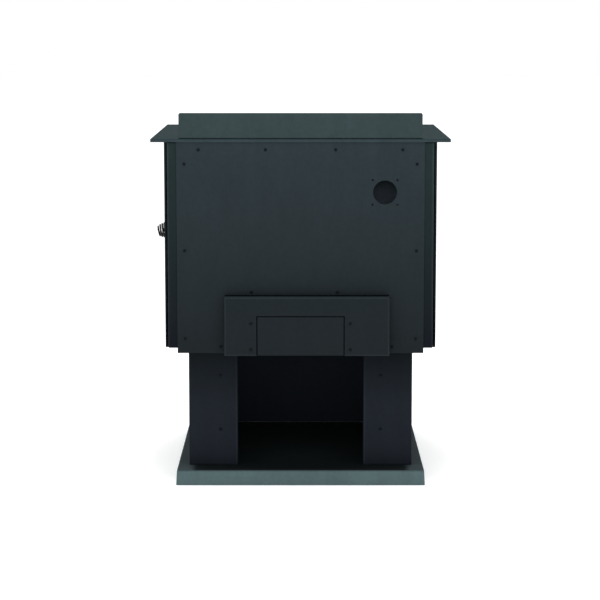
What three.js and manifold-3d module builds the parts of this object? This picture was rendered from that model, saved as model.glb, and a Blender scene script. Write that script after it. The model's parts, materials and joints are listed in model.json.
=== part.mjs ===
// A pedestal wood burning stove of welded plate and folded sheet steel.
// Lengths are in millimetres. The front faces -Y, +Z is up, and the origin is the centre of the
// base's underside, on the floor. "left" and "right" are those of someone who faces the door.
import * as THREE from 'three';
import { mergeVertices } from 'three/addons/utils/BufferGeometryUtils.js';
import Module from 'manifold-3d';

const wasm = await Module();
wasm.setup();

// Body
const bodyWidth = 690; // over the side panels
const bodyDepth = 593; // rear shield face to front plate face
const fireboxHeight = 477; // underside of the firebox floor to underside of the cooking plate
const fireboxPlate = 6;
const sideAirGap = 55; // side shield face to firebox wall
const rearAirGap = 58; // rear shield face to firebox wall
const wallSlotWidth = 80; // where the secondary air enters the firebox
const wallSlotHeight = 22;

// Cooking plate, flue collar and rear upstand
const cooktopThickness = 8;
const cooktopSideOverhang = 31; // past the side panel face
const cooktopRearOverhang = 2;
const cooktopFrontOverhang = 25;
const flueBore = 152;
const flueWall = 3;
const flueRise = 38;
const flueDrop = 10;
const flueFlangeWidth = 22;
const flueFlangeThickness = 5;
const flueFromRear = 180;
const flueClearance = 1;
const upstandHeight = 65;
const upstandInset = 40; // from the side panel face
const upstandFoot = 22;
const upstandCorner = 5;

// Heat shields
const shieldSheet = 2;
const shieldBend = 3;
const shieldReveal = 23.5; // side shield seen beside the rear shield and the front plate
const shieldTopGap = 2;
const sideSkirt = 45; // how far the side shields reach below the firebox
const rearSkirt = 58;
const rearFlangeWidth = 50.5;
const frontFlangeWidth = 38.5;
const topRailDrop = 40;
const topRailDepth = 30;
const portBore = 60;
const portInset = 99.5; // from the rear shield's side edge
const portDrop = 124; // from the rear shield's top edge
const portScrewSquare = 62;
const portScrewHole = 5;

// Side panels, each held off its side shield by four bosses
const panelThickness = 4.8;
const panelGap = 5.2;
const panelSkirt = 5.5; // how far the panels hang below the side shields
const panelRearSetback = 44; // from the rear shield face
const bossDiameter = 16;
const bossInset = 70; // from the panel's edges

// Air box on the rear shield, its cover, and the air way to the firebox
const airBoxWidth = 416;
const airBoxHeight = 150;
const airBoxDepth = 28;
const airBoxDrop = 61; // below the firebox floor
const airBoxShift = 16; // towards the left of the stove's middle
const airBoxSheet = 2;
const coverWidth = 222;
const coverHeight = 102;
const coverGap = 2.4;
const coverWing = 26;
const airWindowMargin = 15;
const inletDiameter = 76;
const inletWall = 2;
const inletLift = 12; // axis above the firebox floor's underside
const inletLength = 34;
const riserWidth = 120;
const riserDepth = 40;
const ductWidth = 116;
const ductHeight = 30;
const ductSheet = 2;
const ductFrontSetback = 34;

// Base and pedestal
const baseHeight = 40;
const baseFlare = 2;
const baseSheet = 2.5;
const baseSideMargin = 31.5;
const baseRearMargin = 54.5;
const baseFrontMargin = 49;
const channelWidth = 90;
const channelWeb = 50;
const channelInset = 45;
const pedestalHeight = 320;
const pedestalSheet = 2.5;
const pedestalSideInset = 58.5; // from the side panel face
const pedestalRearInset = 50; // from the rear shield face
const pedestalFrontInset = 21.5; // from the front plate face
const pedestalFlange = 40;
const pedestalRearReturn = 100;
const postWidth = 125;
const postReturn = 30;
const railHeight = 40;
const railLeg = 38;
const railThickness = 4;
const railInset = 2;

// Door, its opening and its glass
const doorSideMargin = 85; // from the side panel face
const doorHeight = 340;
const doorLift = 30; // above the firebox floor's underside
const doorThickness = 22;
const doorStandoff = 3;
const doorCorner = 14;
const windowSideRail = 80;
const windowTopRail = 62;
const windowCorner = 10;
const windowBevel = 6;
const glassOverlap = 12;
const glassThickness = 5;
const tapeThickness = 2.5;
const tapeWidth = 10;
const openingSideMargin = 25; // front plate opening around the window
const openingTopMargin = 27;
const ropeWidth = 10;
const ropeInset = 14; // from the door's edge to the middle of the rope
const ropeGroove = 5;
const retainerShort = 20; // end of a glass retainer, from the window's side
const retainerWidth = 21;
const retainerThickness = 2;

// Hinges
const hingeOffset = 15; // from the door's edge to the axis
const hingeForward = 16; // from the front plate face to the axis
const hingeSpread = 240;
const knuckleDiameter = 20;
const knuckleHeight = 22;
const hingePinDiameter = 9;
const hingePinHead = 15;
const hingePinHeadHeight = 4;
const bracketFlange = 38;
const bracketFlangeThickness = 3;

// Latch and handle
const rodDiameter = 12;
const spindleInset = 42; // from the door's edge
const spindleTail = 26; // inside the front plate face
const handleForward = 50; // handle axis in front of the front plate face
const handleBend = 16;
const handleReach = 178; // spindle to the end of the rod
const handleDrop = 6; // degrees below level
const coilStart = 78;
const coilEnd = 190;
const coilWire = 5;
const coilTurns = 18;
const coilClearance = 0.6; // between the rod and the coil's closed ends
const coilFacets = 12; // straight lengths in one turn
const coilRadius = 21.5; // widest, to the middle of the wire
const coilSkew = 1.7; // above 1 the widest turn lies nearer the tip
const coilTaper = 0.5; // below 1 the coil's ends close more suddenly
const camThickness = 8;
const camReach = 36;
const camWidth = 16;
const camCorner = 3;
const camHub = 24;
const camSetback = 2;
const notchMargin = 18;
const notchBelow = 18;
const notchAbove = 46;

// Firebricks and baffle
const brickThickness = 32;
const brickWidth = 114;
const brickLength = 228;
const brickJoint = 2;
const brickJointDepth = 4;
const bedFrontMargin = 66; // least room in front of the bricks, which are cut to keep it
const baffleThickness = 25;
const baffleFrontGap = 78;

// Secondary air tubes and the channels that feed them
const channelHeight = 40;
const channelDepth = 38;
const channelSheet = 3;
const channelBelowTop = 142; // cooking plate underside to the channel's underside
const channelFrontSetback = 48;
const tubeDiameter = 20;
const tubeWall = 1.5;
const tubeCount = 3;
const tubeProud = 8; // tube end inside the channel
const washOverhang = 15; // past the door opening at each end
const washHeight = 42;
const washDepth = 30;
const washSheet = 3;
const washLift = 8; // above the door opening
const logBarHeight = 50;
const logBarThickness = 6;

// Ash lip and air control
const lipSideMargin = 75; // from the door's edge
const lipReach = 60;
const lipDrop = 6; // below the door
const lipThickness = 4;
const lipNose = 18;
const controlRodDiameter = 9;
const controlHole = 13;
const controlReach = 46; // rod end in front of the front plate face
const damperLength = 110;
const damperThickness = 3;
const damperLift = 6;
const damperFrontSetback = 130;
const knobWire = 3;
const knobTurns = 7;
const knobRadius = 10;
const knobLength = 40;

const touch = 0.3; // gap between pieces that touch
const overrun = 5; // how far a cutting tool runs past the piece
const slideClearance = 1.5;

// Worked-out places
const pedestalWidth = bodyWidth - 2 * pedestalSideInset;
const pedestalDepth = bodyDepth - pedestalRearInset - pedestalFrontInset;
const baseWidth = pedestalWidth + 2 * baseSideMargin;
const baseDepth = pedestalDepth + baseRearMargin + baseFrontMargin;
const pedestalSide = pedestalWidth / 2;
const pedestalRear = baseDepth / 2 - baseRearMargin;
const pedestalFront = pedestalRear - pedestalDepth;
const pedestalTop = baseHeight + pedestalHeight;
const bodySide = bodyWidth / 2;
const bodyRear = pedestalRear + pedestalRearInset;
const bodyFront = bodyRear - bodyDepth;
const shieldOuter = bodySide - panelThickness - panelGap; // side shield face
const shieldSide = shieldOuter - shieldReveal; // side edge of the rear shield and the front plate
const fireboxBottom = pedestalTop + railHeight;
const fireboxTop = fireboxBottom + fireboxHeight; // underside of the cooking plate
const cooktopTop = fireboxTop + cooktopThickness;
const wallOuter = shieldOuter - sideAirGap;
const wallInner = wallOuter - fireboxPlate;
const rearOuter = bodyRear - rearAirGap;
const rearInner = rearOuter - fireboxPlate;
const plateInside = bodyFront + fireboxPlate; // inner face of the front plate
const floorTop = fireboxBottom + fireboxPlate + touch;
const shieldTop = fireboxTop - shieldTopGap;
const sideBottom = fireboxBottom - sideSkirt;
const rearBottom = fireboxBottom - rearSkirt;
const airBoxBottom = fireboxBottom - airBoxDrop;
const airBoxTop = airBoxBottom + airBoxHeight;
const airBoxSides = [-airBoxShift - airBoxWidth / 2, -airBoxShift + airBoxWidth / 2];
const flueY = bodyRear - flueFromRear;
const inletZ = fireboxBottom + inletLift;
const channelBottom = fireboxTop - channelBelowTop;
const tubeZ = channelBottom + channelHeight / 2;
const channelInner = wallInner - touch - channelDepth;
const doorWidth = bodyWidth - 2 * doorSideMargin;
const doorSide = doorWidth / 2;
const doorBottom = fireboxBottom + doorLift;
const doorZ = doorBottom + doorHeight / 2;
const doorBack = bodyFront - doorStandoff;
const doorFront = doorBack - doorThickness;
const windowSide = doorSide - windowSideRail;
const windowHalf = doorHeight / 2 - windowTopRail;
const glassSide = windowSide + glassOverlap;
const glassHalf = windowHalf + glassOverlap;
const openingSide = windowSide + openingSideMargin;
const openingHalf = windowHalf + openingTopMargin;
const ropeSide = doorSide - ropeInset;
const ropeHalf = doorHeight / 2 - ropeInset;
const hingeX = -doorSide - hingeOffset;
const hingeY = bodyFront - hingeForward;
const spindleX = doorSide - spindleInset;
const handleY = bodyFront - handleForward;
const controlZ = fireboxBottom - touch - ductHeight / 2;

// Solids
const left = -1;
const right = 1;

function toSolid(geometry) {
  const bare = geometry.clone();
  bare.deleteAttribute('normal');
  bare.deleteAttribute('uv');
  const merged = mergeVertices(bare, 1e-4);
  return new wasm.Manifold(new wasm.Mesh({
    numProp: 3,
    vertProperties: merged.attributes.position.array,
    triVerts: merged.index.array,
  }));
}

function toGeometry(solid) {
  const mesh = solid.getMesh();
  const geometry = new THREE.BufferGeometry();
  geometry.setAttribute('position', new THREE.BufferAttribute(mesh.vertProperties, 3));
  geometry.setIndex(new THREE.BufferAttribute(mesh.triVerts, 1));
  geometry.computeVertexNormals();
  return geometry;
}

function join(first, ...others) {
  return toGeometry(others.reduce((sum, other) => sum.add(toSolid(other)), toSolid(first)));
}

function cut(first, ...tools) {
  return toGeometry(tools.reduce((rest, tool) => rest.subtract(toSolid(tool)), toSolid(first)));
}

// The piece as drawn for the right side, or its mirror image for the left.
function onSide(side, geometry) {
  if (side === right) return geometry;
  const mirrored = join(geometry).scale(-1, 1, 1);
  const order = mirrored.index.array;
  for (let i = 0; i < order.length; i += 3) {
    [order[i], order[i + 1]] = [order[i + 1], order[i]];
  }
  return mirrored;
}

function block([x0, x1], [y0, y1], [z0, z1]) {
  return new THREE.BoxGeometry(x1 - x0, y1 - y0, z1 - z0)
    .translate((x0 + x1) / 2, (y0 + y1) / 2, (z0 + z1) / 2);
}

// A closed outline through corners [across, up, radius], rounded where a radius is given.
function outline(corners) {
  const shape = new THREE.Shape();
  const points = corners.map(([across, up]) => new THREE.Vector2(across, up));
  corners.forEach(([across, up, radius = 0], i) => {
    if (!radius) {
      if (i) shape.lineTo(across, up);
      else shape.moveTo(across, up);
      return;
    }
    const back = points.at(i - 1).clone().sub(points[i]).normalize();
    const on = points[(i + 1) % points.length].clone().sub(points[i]).normalize();
    const halfAngle = Math.acos(back.dot(on)) / 2;
    const start = points[i].clone().addScaledVector(back, radius / Math.tan(halfAngle));
    const end = points[i].clone().addScaledVector(on, radius / Math.tan(halfAngle));
    const centre = points[i].clone()
      .addScaledVector(back.clone().add(on).normalize(), radius / Math.sin(halfAngle));
    shape.absarc(centre.x, centre.y, radius, start.sub(centre).angle(), end.sub(centre).angle(),
      back.cross(on) > 0);
  });
  return shape;
}

function past([low, high]) {
  return [low - overrun, high + overrun];
}

function rectangle(side, half, radius = 0, acrossCentre = 0, upCentre = 0) {
  return outline([[-1, -1], [1, -1], [1, 1], [-1, 1]]
    .map(([i, j]) => [acrossCentre + i * side, upCentre + j * half, radius]));
}

// The section of a folded sheet. The path is the sheet's outer face, with the sheet on its left.
function foldedSection(path, thickness, bend = 0) {
  const points = path.map(([across, up]) => new THREE.Vector2(across, up));
  const last = points.length - 1;
  const faces = points.map((point, i) => {
    const back = points[Math.max(i, 1)].clone().sub(points[Math.max(i, 1) - 1]).normalize();
    const start = Math.min(i, last - 1);
    const on = points[start + 1].clone().sub(points[start]).normalize();
    const turn = back.cross(on);
    const normal = new THREE.Vector2(-back.y - on.y, back.x + on.x).normalize();
    const mitre = thickness / (normal.y * back.x - normal.x * back.y);
    const inner = point.clone().addScaledVector(normal, mitre);
    const fold = bend && turn;
    return {
      outer: [point.x, point.y, fold ? bend + (turn > 0 ? thickness : 0) : 0],
      inner: [inner.x, inner.y, fold ? bend + (turn > 0 ? 0 : thickness) : 0],
    };
  });
  return outline([...faces.map((face) => face.outer), ...faces.map((face) => face.inner).reverse()]);
}

function prism(shape, length, arcSteps) {
  return new THREE.ExtrudeGeometry(shape, {
    depth: length, bevelEnabled: false, steps: 1, curveSegments: arcSteps,
  });
}

// A shape drawn in plan, standing from z0 to z1.
function prismUp(shape, [z0, z1], arcSteps = 2) {
  return prism(shape, z1 - z0, arcSteps).translate(0, 0, z0);
}

// A shape drawn across X and up Z, running from y0 to y1.
function prismBack(shape, [y0, y1], arcSteps = 2) {
  return prism(shape, y1 - y0, arcSteps).rotateX(Math.PI / 2).translate(0, y1, 0);
}

// A shape drawn along Y and up Z, running from x0 to x1.
function prismAcross(shape, [x0, x1], arcSteps = 2) {
  const turn = new THREE.Matrix4().makeBasis(
    new THREE.Vector3(0, 1, 0), new THREE.Vector3(0, 0, 1), new THREE.Vector3(1, 0, 0));
  return prism(shape, x1 - x0, arcSteps).applyMatrix4(turn).translate(x0, 0, 0);
}

function drumUp(diameter, x, y, [z0, z1], sides = 24) {
  return new THREE.CylinderGeometry(diameter / 2, diameter / 2, z1 - z0, sides)
    .rotateX(Math.PI / 2).translate(x, y, (z0 + z1) / 2);
}

function drumBack(diameter, x, z, [y0, y1], sides = 24) {
  return new THREE.CylinderGeometry(diameter / 2, diameter / 2, y1 - y0, sides)
    .translate(x, (y0 + y1) / 2, z);
}

function drumAcross(diameter, y, z, [x0, x1], sides = 24) {
  return new THREE.CylinderGeometry(diameter / 2, diameter / 2, x1 - x0, sides)
    .rotateZ(Math.PI / 2).translate((x0 + x1) / 2, y, z);
}

function roundSection(diameter, sides) {
  const points = [];
  for (let i = 0; i < sides; i += 1) {
    const angle = (2 * Math.PI * i) / sides;
    points.push(new THREE.Vector2(Math.cos(angle), Math.sin(angle)).multiplyScalar(diameter / 2));
  }
  return new THREE.Shape(points);
}

function rodAlong(path, diameter, steps, sides) {
  return new THREE.ExtrudeGeometry(roundSection(diameter, sides), { steps, extrudePath: path });
}

// A coil around an axis from start towards end, whose radius is a function of the share of its
// length.
class CoilCurve extends THREE.Curve {
  constructor(start, end, turns, radiusAt) {
    super();
    Object.assign(this, { start, end, turns, radiusAt });
    this.axis = end.clone().sub(start).normalize();
    this.sideways = new THREE.Vector3(0, -1, 0);
    this.upward = this.axis.clone().cross(this.sideways);
  }

  getPoint(share, target = new THREE.Vector3()) {
    const angle = 2 * Math.PI * this.turns * share;
    const radius = this.radiusAt(share);
    return target.lerpVectors(this.start, this.end, share)
      .addScaledVector(this.sideways, radius * Math.cos(angle))
      .addScaledVector(this.upward, radius * Math.sin(angle));
  }
}

// Finishes
const finish = (color, roughness, metalness) => ({ color, roughness, metalness });
const stovePaint = finish(0x2b3336, 0.62, 0.25);
const bareSteel = finish(0x8b9095, 0.42, 0.9);
const plainSteel = finish(0x33373a, 0.6, 0.7);
const fireclay = finish(0xcdb68c, 0.95, 0);
const fibreBoard = finish(0xe9e4d6, 0.95, 0);
const ropeSeal = finish(0x3b3c3d, 0.95, 0);
const ceramicGlass = finish(0x3a3d3f, 0.08, 0);

const stove = new THREE.Group();

function place(name, geometry, look) {
  const mesh = new THREE.Mesh(geometry, new THREE.MeshStandardMaterial(look));
  mesh.name = name;
  stove.add(mesh);
}

// Base
function flaredBlock(sideBottom, depthBottom, flare, [z0, z1]) {
  const slab = block([-sideBottom, sideBottom], [-depthBottom, depthBottom], [z0, z1]);
  const position = slab.attributes.position;
  for (let i = 0; i < position.count; i += 1) {
    if (position.getZ(i) > (z0 + z1) / 2) {
      position.setX(i, Math.sign(position.getX(i)) * (sideBottom - flare));
      position.setY(i, Math.sign(position.getY(i)) * (depthBottom - flare));
    }
  }
  return slab;
}

function basePan() {
  const shell = flaredBlock(baseWidth / 2, baseDepth / 2, baseFlare, [0, baseHeight]);
  const hollow = flaredBlock(baseWidth / 2 - baseSheet, baseDepth / 2 - baseSheet, baseFlare,
    [-baseSheet, baseHeight - baseSheet]);
  return cut(shell, hollow);
}

// A hat channel that stands on the floor and carries the pan.
function baseChannel(y) {
  const top = baseHeight - baseSheet - touch;
  const reach = baseWidth / 2 - baseSheet - baseFlare - slideClearance;
  const web = channelWeb / 2;
  const section = foldedSection([
    [-channelWidth / 2, top - baseSheet], [-web, top - baseSheet], [-web, 0],
    [web, 0], [web, top - baseSheet], [channelWidth / 2, top - baseSheet],
  ], baseSheet);
  return prismAcross(section, [-reach, reach]).translate(0, y, 0);
}

place('base_pan', basePan(), stovePaint);
place('base_channel_front', baseChannel(pedestalFront + channelInset), stovePaint);
place('base_channel_centre', baseChannel(0), stovePaint);
place('base_channel_rear', baseChannel(pedestalRear - channelInset), stovePaint);

// Pedestal
const pedestalSpan = [baseHeight + touch, pedestalTop];
const panelRear = pedestalRear - pedestalSheet - touch; // side panels lie behind the posts
const panelFront = pedestalFront + pedestalSheet + touch;

function pedestalPanel(side) {
  const wall = prismUp(foldedSection([
    [pedestalSide - pedestalFlange, panelFront], [pedestalSide, panelFront],
    [pedestalSide, panelRear], [pedestalSide - pedestalRearReturn, panelRear],
  ], pedestalSheet, pedestalSheet), pedestalSpan);
  const flange = (z0) => block([pedestalSide - pedestalFlange, pedestalSide - pedestalSheet / 2],
    [panelFront + pedestalSheet, panelRear - pedestalSheet], [z0, z0 + pedestalSheet]);
  return onSide(side, join(wall, flange(pedestalSpan[0]), flange(pedestalTop - pedestalSheet)));
}

function pedestalPost(side) {
  return onSide(side, prismUp(foldedSection([
    [pedestalSide, pedestalRear], [pedestalSide - postWidth, pedestalRear],
    [pedestalSide - postWidth, pedestalRear - postReturn],
  ], pedestalSheet, pedestalSheet), pedestalSpan));
}

function supportRail(side) {
  const outer = wallOuter - railInset;
  const foot = pedestalTop + touch;
  return onSide(side, prismBack(outline([
    [outer - railLeg, foot], [outer, foot], [outer, fireboxBottom - touch],
    [outer - railThickness, fireboxBottom - touch], [outer - railThickness, foot + railThickness],
    [outer - railLeg, foot + railThickness],
  ]), [panelFront + pedestalSheet, rearOuter]));
}

place('pedestal_side_left', pedestalPanel(left), stovePaint);
place('pedestal_side_right', pedestalPanel(right), stovePaint);
place('pedestal_post_left', pedestalPost(left), stovePaint);
place('pedestal_post_right', pedestalPost(right), stovePaint);
place('pedestal_front', block([-pedestalSide, pedestalSide],
  [pedestalFront, pedestalFront + pedestalSheet], pedestalSpan), stovePaint);
place('support_rail_left', supportRail(left), plainSteel);
place('support_rail_right', supportRail(right), plainSteel);

// Firebox
const fireboxFront = plateInside + touch;
const wallSpan = [floorTop, fireboxTop - touch];

function fireboxShell() {
  const walls = prismUp(outline([
    [-wallOuter, fireboxFront], [-wallInner, fireboxFront], [-wallInner, rearInner],
    [wallInner, rearInner], [wallInner, fireboxFront], [wallOuter, fireboxFront],
    [wallOuter, rearOuter], [-wallOuter, rearOuter],
  ]), wallSpan);
  const slotTop = tubeZ + wallSlotHeight / 2;
  return cut(walls, block([-wallSlotWidth / 2, wallSlotWidth / 2], past([rearInner, rearOuter]),
    [slotTop - wallSlotHeight, slotTop]));
}

// The floor plate, with a slot at the front that lets the primary air up.
function fireboxFloor() {
  const span = [fireboxBottom, fireboxBottom + fireboxPlate];
  const slotY = fireboxFront + ductFrontSetback + fireboxPlate;
  return cut(block([-wallOuter, wallOuter], [fireboxFront, rearOuter], span),
    block([-wallSlotWidth / 2, wallSlotWidth / 2], [slotY, slotY + wallSlotHeight], past(span)));
}

// The front plate, with the door opening, the latch notch beside it and the air control's hole.
function frontPlate() {
  const through = past([bodyFront, plateInside]);
  const slab = block([-shieldSide, shieldSide], [bodyFront, plateInside], [sideBottom, wallSpan[1]]);
  return cut(slab,
    prismBack(rectangle(openingSide, openingHalf, doorCorner, 0, doorZ), through),
    block([openingSide - doorCorner, spindleX + notchMargin], through,
      [doorZ - notchBelow, doorZ + notchAbove]),
    drumBack(controlHole, 0, controlZ, through));
}

place('firebox_floor', fireboxFloor(), plainSteel);
place('firebox_shell', fireboxShell(), plainSteel);
place('front_plate', frontPlate(), stovePaint);

// Cooking plate and what stands on it
function topPlate() {
  const span = [fireboxTop, cooktopTop];
  const slab = block([-bodySide - cooktopSideOverhang, bodySide + cooktopSideOverhang],
    [bodyFront - cooktopFrontOverhang, bodyRear + cooktopRearOverhang], span);
  const hole = flueBore + 2 * flueWall + 2 * flueClearance;
  return cut(slab, drumUp(hole, 0, flueY, past(span), 36));
}

function flueCollar() {
  const inner = flueBore / 2;
  const outer = inner + flueWall;
  const seat = cooktopTop + touch;
  const profile = [
    [inner, cooktopTop - cooktopThickness - flueDrop], [outer, cooktopTop - cooktopThickness - flueDrop],
    [outer, seat], [outer + flueFlangeWidth, seat],
    [outer + flueFlangeWidth, seat + flueFlangeThickness], [outer, seat + flueFlangeThickness],
    [outer, cooktopTop + flueRise], [inner, cooktopTop + flueRise],
  ].map(([radius, z]) => new THREE.Vector2(radius, z));
  return new THREE.LatheGeometry([...profile, profile[0]], 36).rotateX(Math.PI / 2)
    .translate(0, flueY, 0);
}

// An angle whose upright stands at the plate's rear edge, with rounded upper corners.
function rearUpstand() {
  const side = bodySide - upstandInset;
  const foot = cooktopTop + touch;
  const angle = prismAcross(foldedSection([
    [bodyRear - upstandFoot, foot], [bodyRear, foot], [bodyRear, cooktopTop + upstandHeight],
  ], shieldSheet, shieldSheet), [-side, side]);
  const silhouette = prismBack(outline([
    [-side, foot - shieldSheet], [side, foot - shieldSheet],
    [side, cooktopTop + upstandHeight, upstandCorner],
    [-side, cooktopTop + upstandHeight, upstandCorner],
  ]), past([bodyRear - upstandFoot, bodyRear]));
  return toGeometry(toSolid(angle).intersect(toSolid(silhouette)));
}

place('top_plate', topPlate(), stovePaint);
place('flue_collar', flueCollar(), stovePaint);
place('rear_upstand', rearUpstand(), stovePaint);

// Heat shields
const shieldInside = bodyRear - shieldSheet - touch; // what the rear shield rests on

function rearShield() {
  const thickness = [bodyRear - shieldSheet, bodyRear];
  const through = past(thickness);
  const portX = -shieldSide + portInset;
  const portZ = shieldTop - portDrop;
  const window = block([airBoxSides[0] + airWindowMargin, airBoxSides[1] - airWindowMargin], through,
    [airBoxBottom + airWindowMargin, airBoxTop - airWindowMargin]);
  const screwHoles = [[-1, -1], [1, -1], [1, 1], [-1, 1]].map(([i, j]) => drumBack(portScrewHole,
    portX + (i * portScrewSquare) / 2, portZ + (j * portScrewSquare) / 2, through, 10));
  const sheet = block([-shieldSide, shieldSide], thickness, [rearBottom, shieldTop]);
  return cut(sheet, window, drumBack(portBore, portX, portZ, through, 36), ...screwHoles);
}

// The angle under the cooking plate that the rear shield's top screws enter.
function shieldTopRail() {
  const side = shieldOuter - rearFlangeWidth - slideClearance;
  return prismAcross(foldedSection([
    [shieldInside, shieldTop - topRailDrop], [shieldInside, shieldTop],
    [shieldInside - topRailDepth, shieldTop],
  ], shieldSheet, shieldSheet), [-side, side]);
}

function sideShield(side) {
  return onSide(side, prismUp(foldedSection([
    [shieldOuter - frontFlangeWidth, fireboxFront], [shieldOuter, fireboxFront],
    [shieldOuter, shieldInside], [shieldOuter - rearFlangeWidth, shieldInside],
  ], shieldSheet, shieldBend), [sideBottom, shieldTop], 3));
}

function sidePanel(side) {
  const run = [fireboxFront, bodyRear - panelRearSetback];
  const rise = [sideBottom - panelSkirt, shieldTop];
  const slab = block([bodySide - panelThickness, bodySide], run, rise);
  const sill = block([shieldOuter + touch, bodySide - panelThickness / 2], run,
    [rise[0], rise[0] + panelThickness]);
  const bosses = run.flatMap((y, i) => rise.map((z, j) => drumAcross(bossDiameter,
    y + (i ? -bossInset : bossInset), z + (j ? -bossInset : bossInset),
    [shieldOuter + touch, bodySide - panelThickness / 2], 16)));
  return onSide(side, join(slab, sill, ...bosses));
}

function bottomShield() {
  const side = wallOuter - railInset - railThickness - slideClearance;
  const seat = pedestalTop + touch + railThickness + touch;
  return block([-side, side], [panelFront + pedestalSheet, rearOuter], [seat, seat + shieldSheet]);
}

place('rear_shield', rearShield(), stovePaint);
place('shield_top_rail', shieldTopRail(), stovePaint);
place('side_shield_left', sideShield(left), stovePaint);
place('side_shield_right', sideShield(right), stovePaint);
place('side_panel_left', sidePanel(left), stovePaint);
place('side_panel_right', sidePanel(right), stovePaint);
place('bottom_shield', bottomShield(), plainSteel);

// Air box and the air way behind it
const airBoxFace = bodyRear + airBoxDepth;

function airBox() {
  const [sideLeft, sideRight] = airBoxSides;
  const shell = block(airBoxSides, [bodyRear + touch, airBoxFace], [airBoxBottom, airBoxTop]);
  const hollow = block([sideLeft + airBoxSheet, sideRight - airBoxSheet],
    [bodyRear, airBoxFace - airBoxSheet], [airBoxBottom + airBoxSheet, airBoxTop - airBoxSheet]);
  const notch = block([-coverWidth / 2, coverWidth / 2], past([airBoxFace - airBoxSheet, airBoxFace]),
    [airBoxBottom - overrun, airBoxBottom + coverHeight]);
  return cut(shell, hollow, notch);
}

// A plate that lies behind the box's face, with a raised panel that fills the notch.
function airBoxCover() {
  const side = coverWidth / 2;
  const back = airBoxFace - airBoxSheet - touch;
  const foot = airBoxBottom + airBoxSheet + touch;
  const panel = block([coverGap - side, side - coverGap], [back - airBoxSheet / 2, airBoxFace],
    [foot, airBoxBottom + coverHeight - coverGap]);
  const wings = block([-side - coverWing, side + coverWing], [back - airBoxSheet, back],
    [foot, airBoxBottom + coverHeight + coverWing / 2]);
  return join(panel, wings);
}

function airInletPipe() {
  const start = rearOuter + touch + riserDepth + touch;
  const span = [start, start + inletLength];
  return cut(drumBack(inletDiameter, 0, inletZ, span, 32),
    drumBack(inletDiameter - 2 * inletWall, 0, inletZ, past(span), 32));
}

// A channel against the firebox's rear wall. It takes air from the pipe, feeds the duct under the
// floor, and carries the rest up to the slot behind the tubes.
function airRiser() {
  const side = riserWidth / 2;
  const near = rearOuter + touch;
  const far = near + riserDepth;
  const span = [fireboxBottom - ductHeight - ductSheet, tubeZ + wallSlotHeight];
  const channel = prismUp(foldedSection([[side, near], [side, far], [-side, far], [-side, near]],
    ductSheet), span);
  const end = (z0) => block([ductSheet / 2 - side, side - ductSheet / 2], [near, far - ductSheet / 2],
    [z0, z0 + ductSheet]);
  return cut(join(channel, end(span[0]), end(span[1] - ductSheet)),
    drumBack(inletDiameter - 2 * inletWall, 0, inletZ, past([far - ductSheet, far]), 32));
}

function primaryAirDuct() {
  const side = ductWidth / 2;
  const top = fireboxBottom - touch;
  return prismBack(foldedSection([
    [-side, top], [-side, top - ductHeight], [side, top - ductHeight], [side, top],
  ], ductSheet), [fireboxFront + ductFrontSetback, rearOuter]);
}

place('air_box', airBox(), stovePaint);
place('air_box_cover', airBoxCover(), stovePaint);
place('air_inlet_pipe', airInletPipe(), plainSteel);
place('air_riser', airRiser(), plainSteel);
place('primary_air_duct', primaryAirDuct(), plainSteel);

// Firebricks. Each bed is cut with joints between its bricks.
const bedRear = rearInner - touch;
const bedFront = Math.max(bedRear - 2 * brickLength, fireboxFront + bedFrontMargin);
const bedSide = wallInner - touch;
const bedTop = floorTop + brickThickness;
const brickFoot = bedTop + touch;
const brickTop = brickFoot + brickLength;

// Places of the joints between low and high, counted from start.
function jointsWithin(low, high, pitch, start = (low + high) / 2 + pitch / 2) {
  const places = [];
  for (let at = start; at < high - brickJoint; at += pitch) places.push(at);
  for (let at = start - pitch; at > low + brickJoint; at -= pitch) places.push(at);
  return places;
}

function jointAt(at) {
  return [at - brickJoint / 2, at + brickJoint / 2];
}

function brickFloor() {
  const up = [bedTop - brickJointDepth, bedTop + overrun];
  const slab = block([-bedSide, bedSide], [bedFront, bedRear], [floorTop, bedTop]);
  const joints = jointsWithin(-bedSide, bedSide, brickWidth)
    .map((x) => block(jointAt(x), past([bedFront, bedRear]), up));
  const middle = block(past([-bedSide, bedSide]), jointAt(bedFront + brickLength), up);
  return cut(slab, ...joints, middle);
}

function brickRear() {
  const face = bedRear - brickThickness;
  const slab = block([-bedSide, bedSide], [face, bedRear], [brickFoot, brickTop]);
  return cut(slab, ...jointsWithin(-bedSide, bedSide, brickWidth).map((x) => block(jointAt(x),
    [face - overrun, face + brickJointDepth], past([brickFoot, brickTop]))));
}

function brickSide(side) {
  const face = bedSide - brickThickness;
  const rear = bedRear - brickThickness - touch;
  const slab = block([face, bedSide], [bedFront, rear], [brickFoot, brickTop]);
  return onSide(side, cut(slab, ...jointsWithin(bedFront, rear, brickWidth, bedFront + brickWidth)
    .map((y) => block([face - overrun, face + brickJointDepth], jointAt(y),
      past([brickFoot, brickTop])))));
}

place('firebrick_floor', brickFloor(), fireclay);
place('firebrick_rear', brickRear(), fireclay);
place('firebrick_left', brickSide(left), fireclay);
place('firebrick_right', brickSide(right), fireclay);

// Secondary air: a channel along each wall, with tubes between them and the baffle on top.
const channelRun = [fireboxFront + channelFrontSetback, rearInner - touch];
const tubePitch = (channelRun[1] - channelRun[0]) / tubeCount;
const tubePlaces = Array.from({ length: tubeCount }, (_, i) => channelRun[0] + (i + 0.5) * tubePitch);

function airChannel(side) {
  const wall = wallInner - touch;
  const top = channelBottom + channelHeight;
  const channel = prismBack(foldedSection([
    [wall, top], [channelInner, top], [channelInner, channelBottom], [wall, channelBottom],
  ], channelSheet), channelRun);
  const holes = tubePlaces.map((y) => drumAcross(tubeDiameter + 2 * touch, y, tubeZ,
    past([channelInner, channelInner + channelSheet]), 16));
  return onSide(side, cut(channel, ...holes));
}

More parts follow.
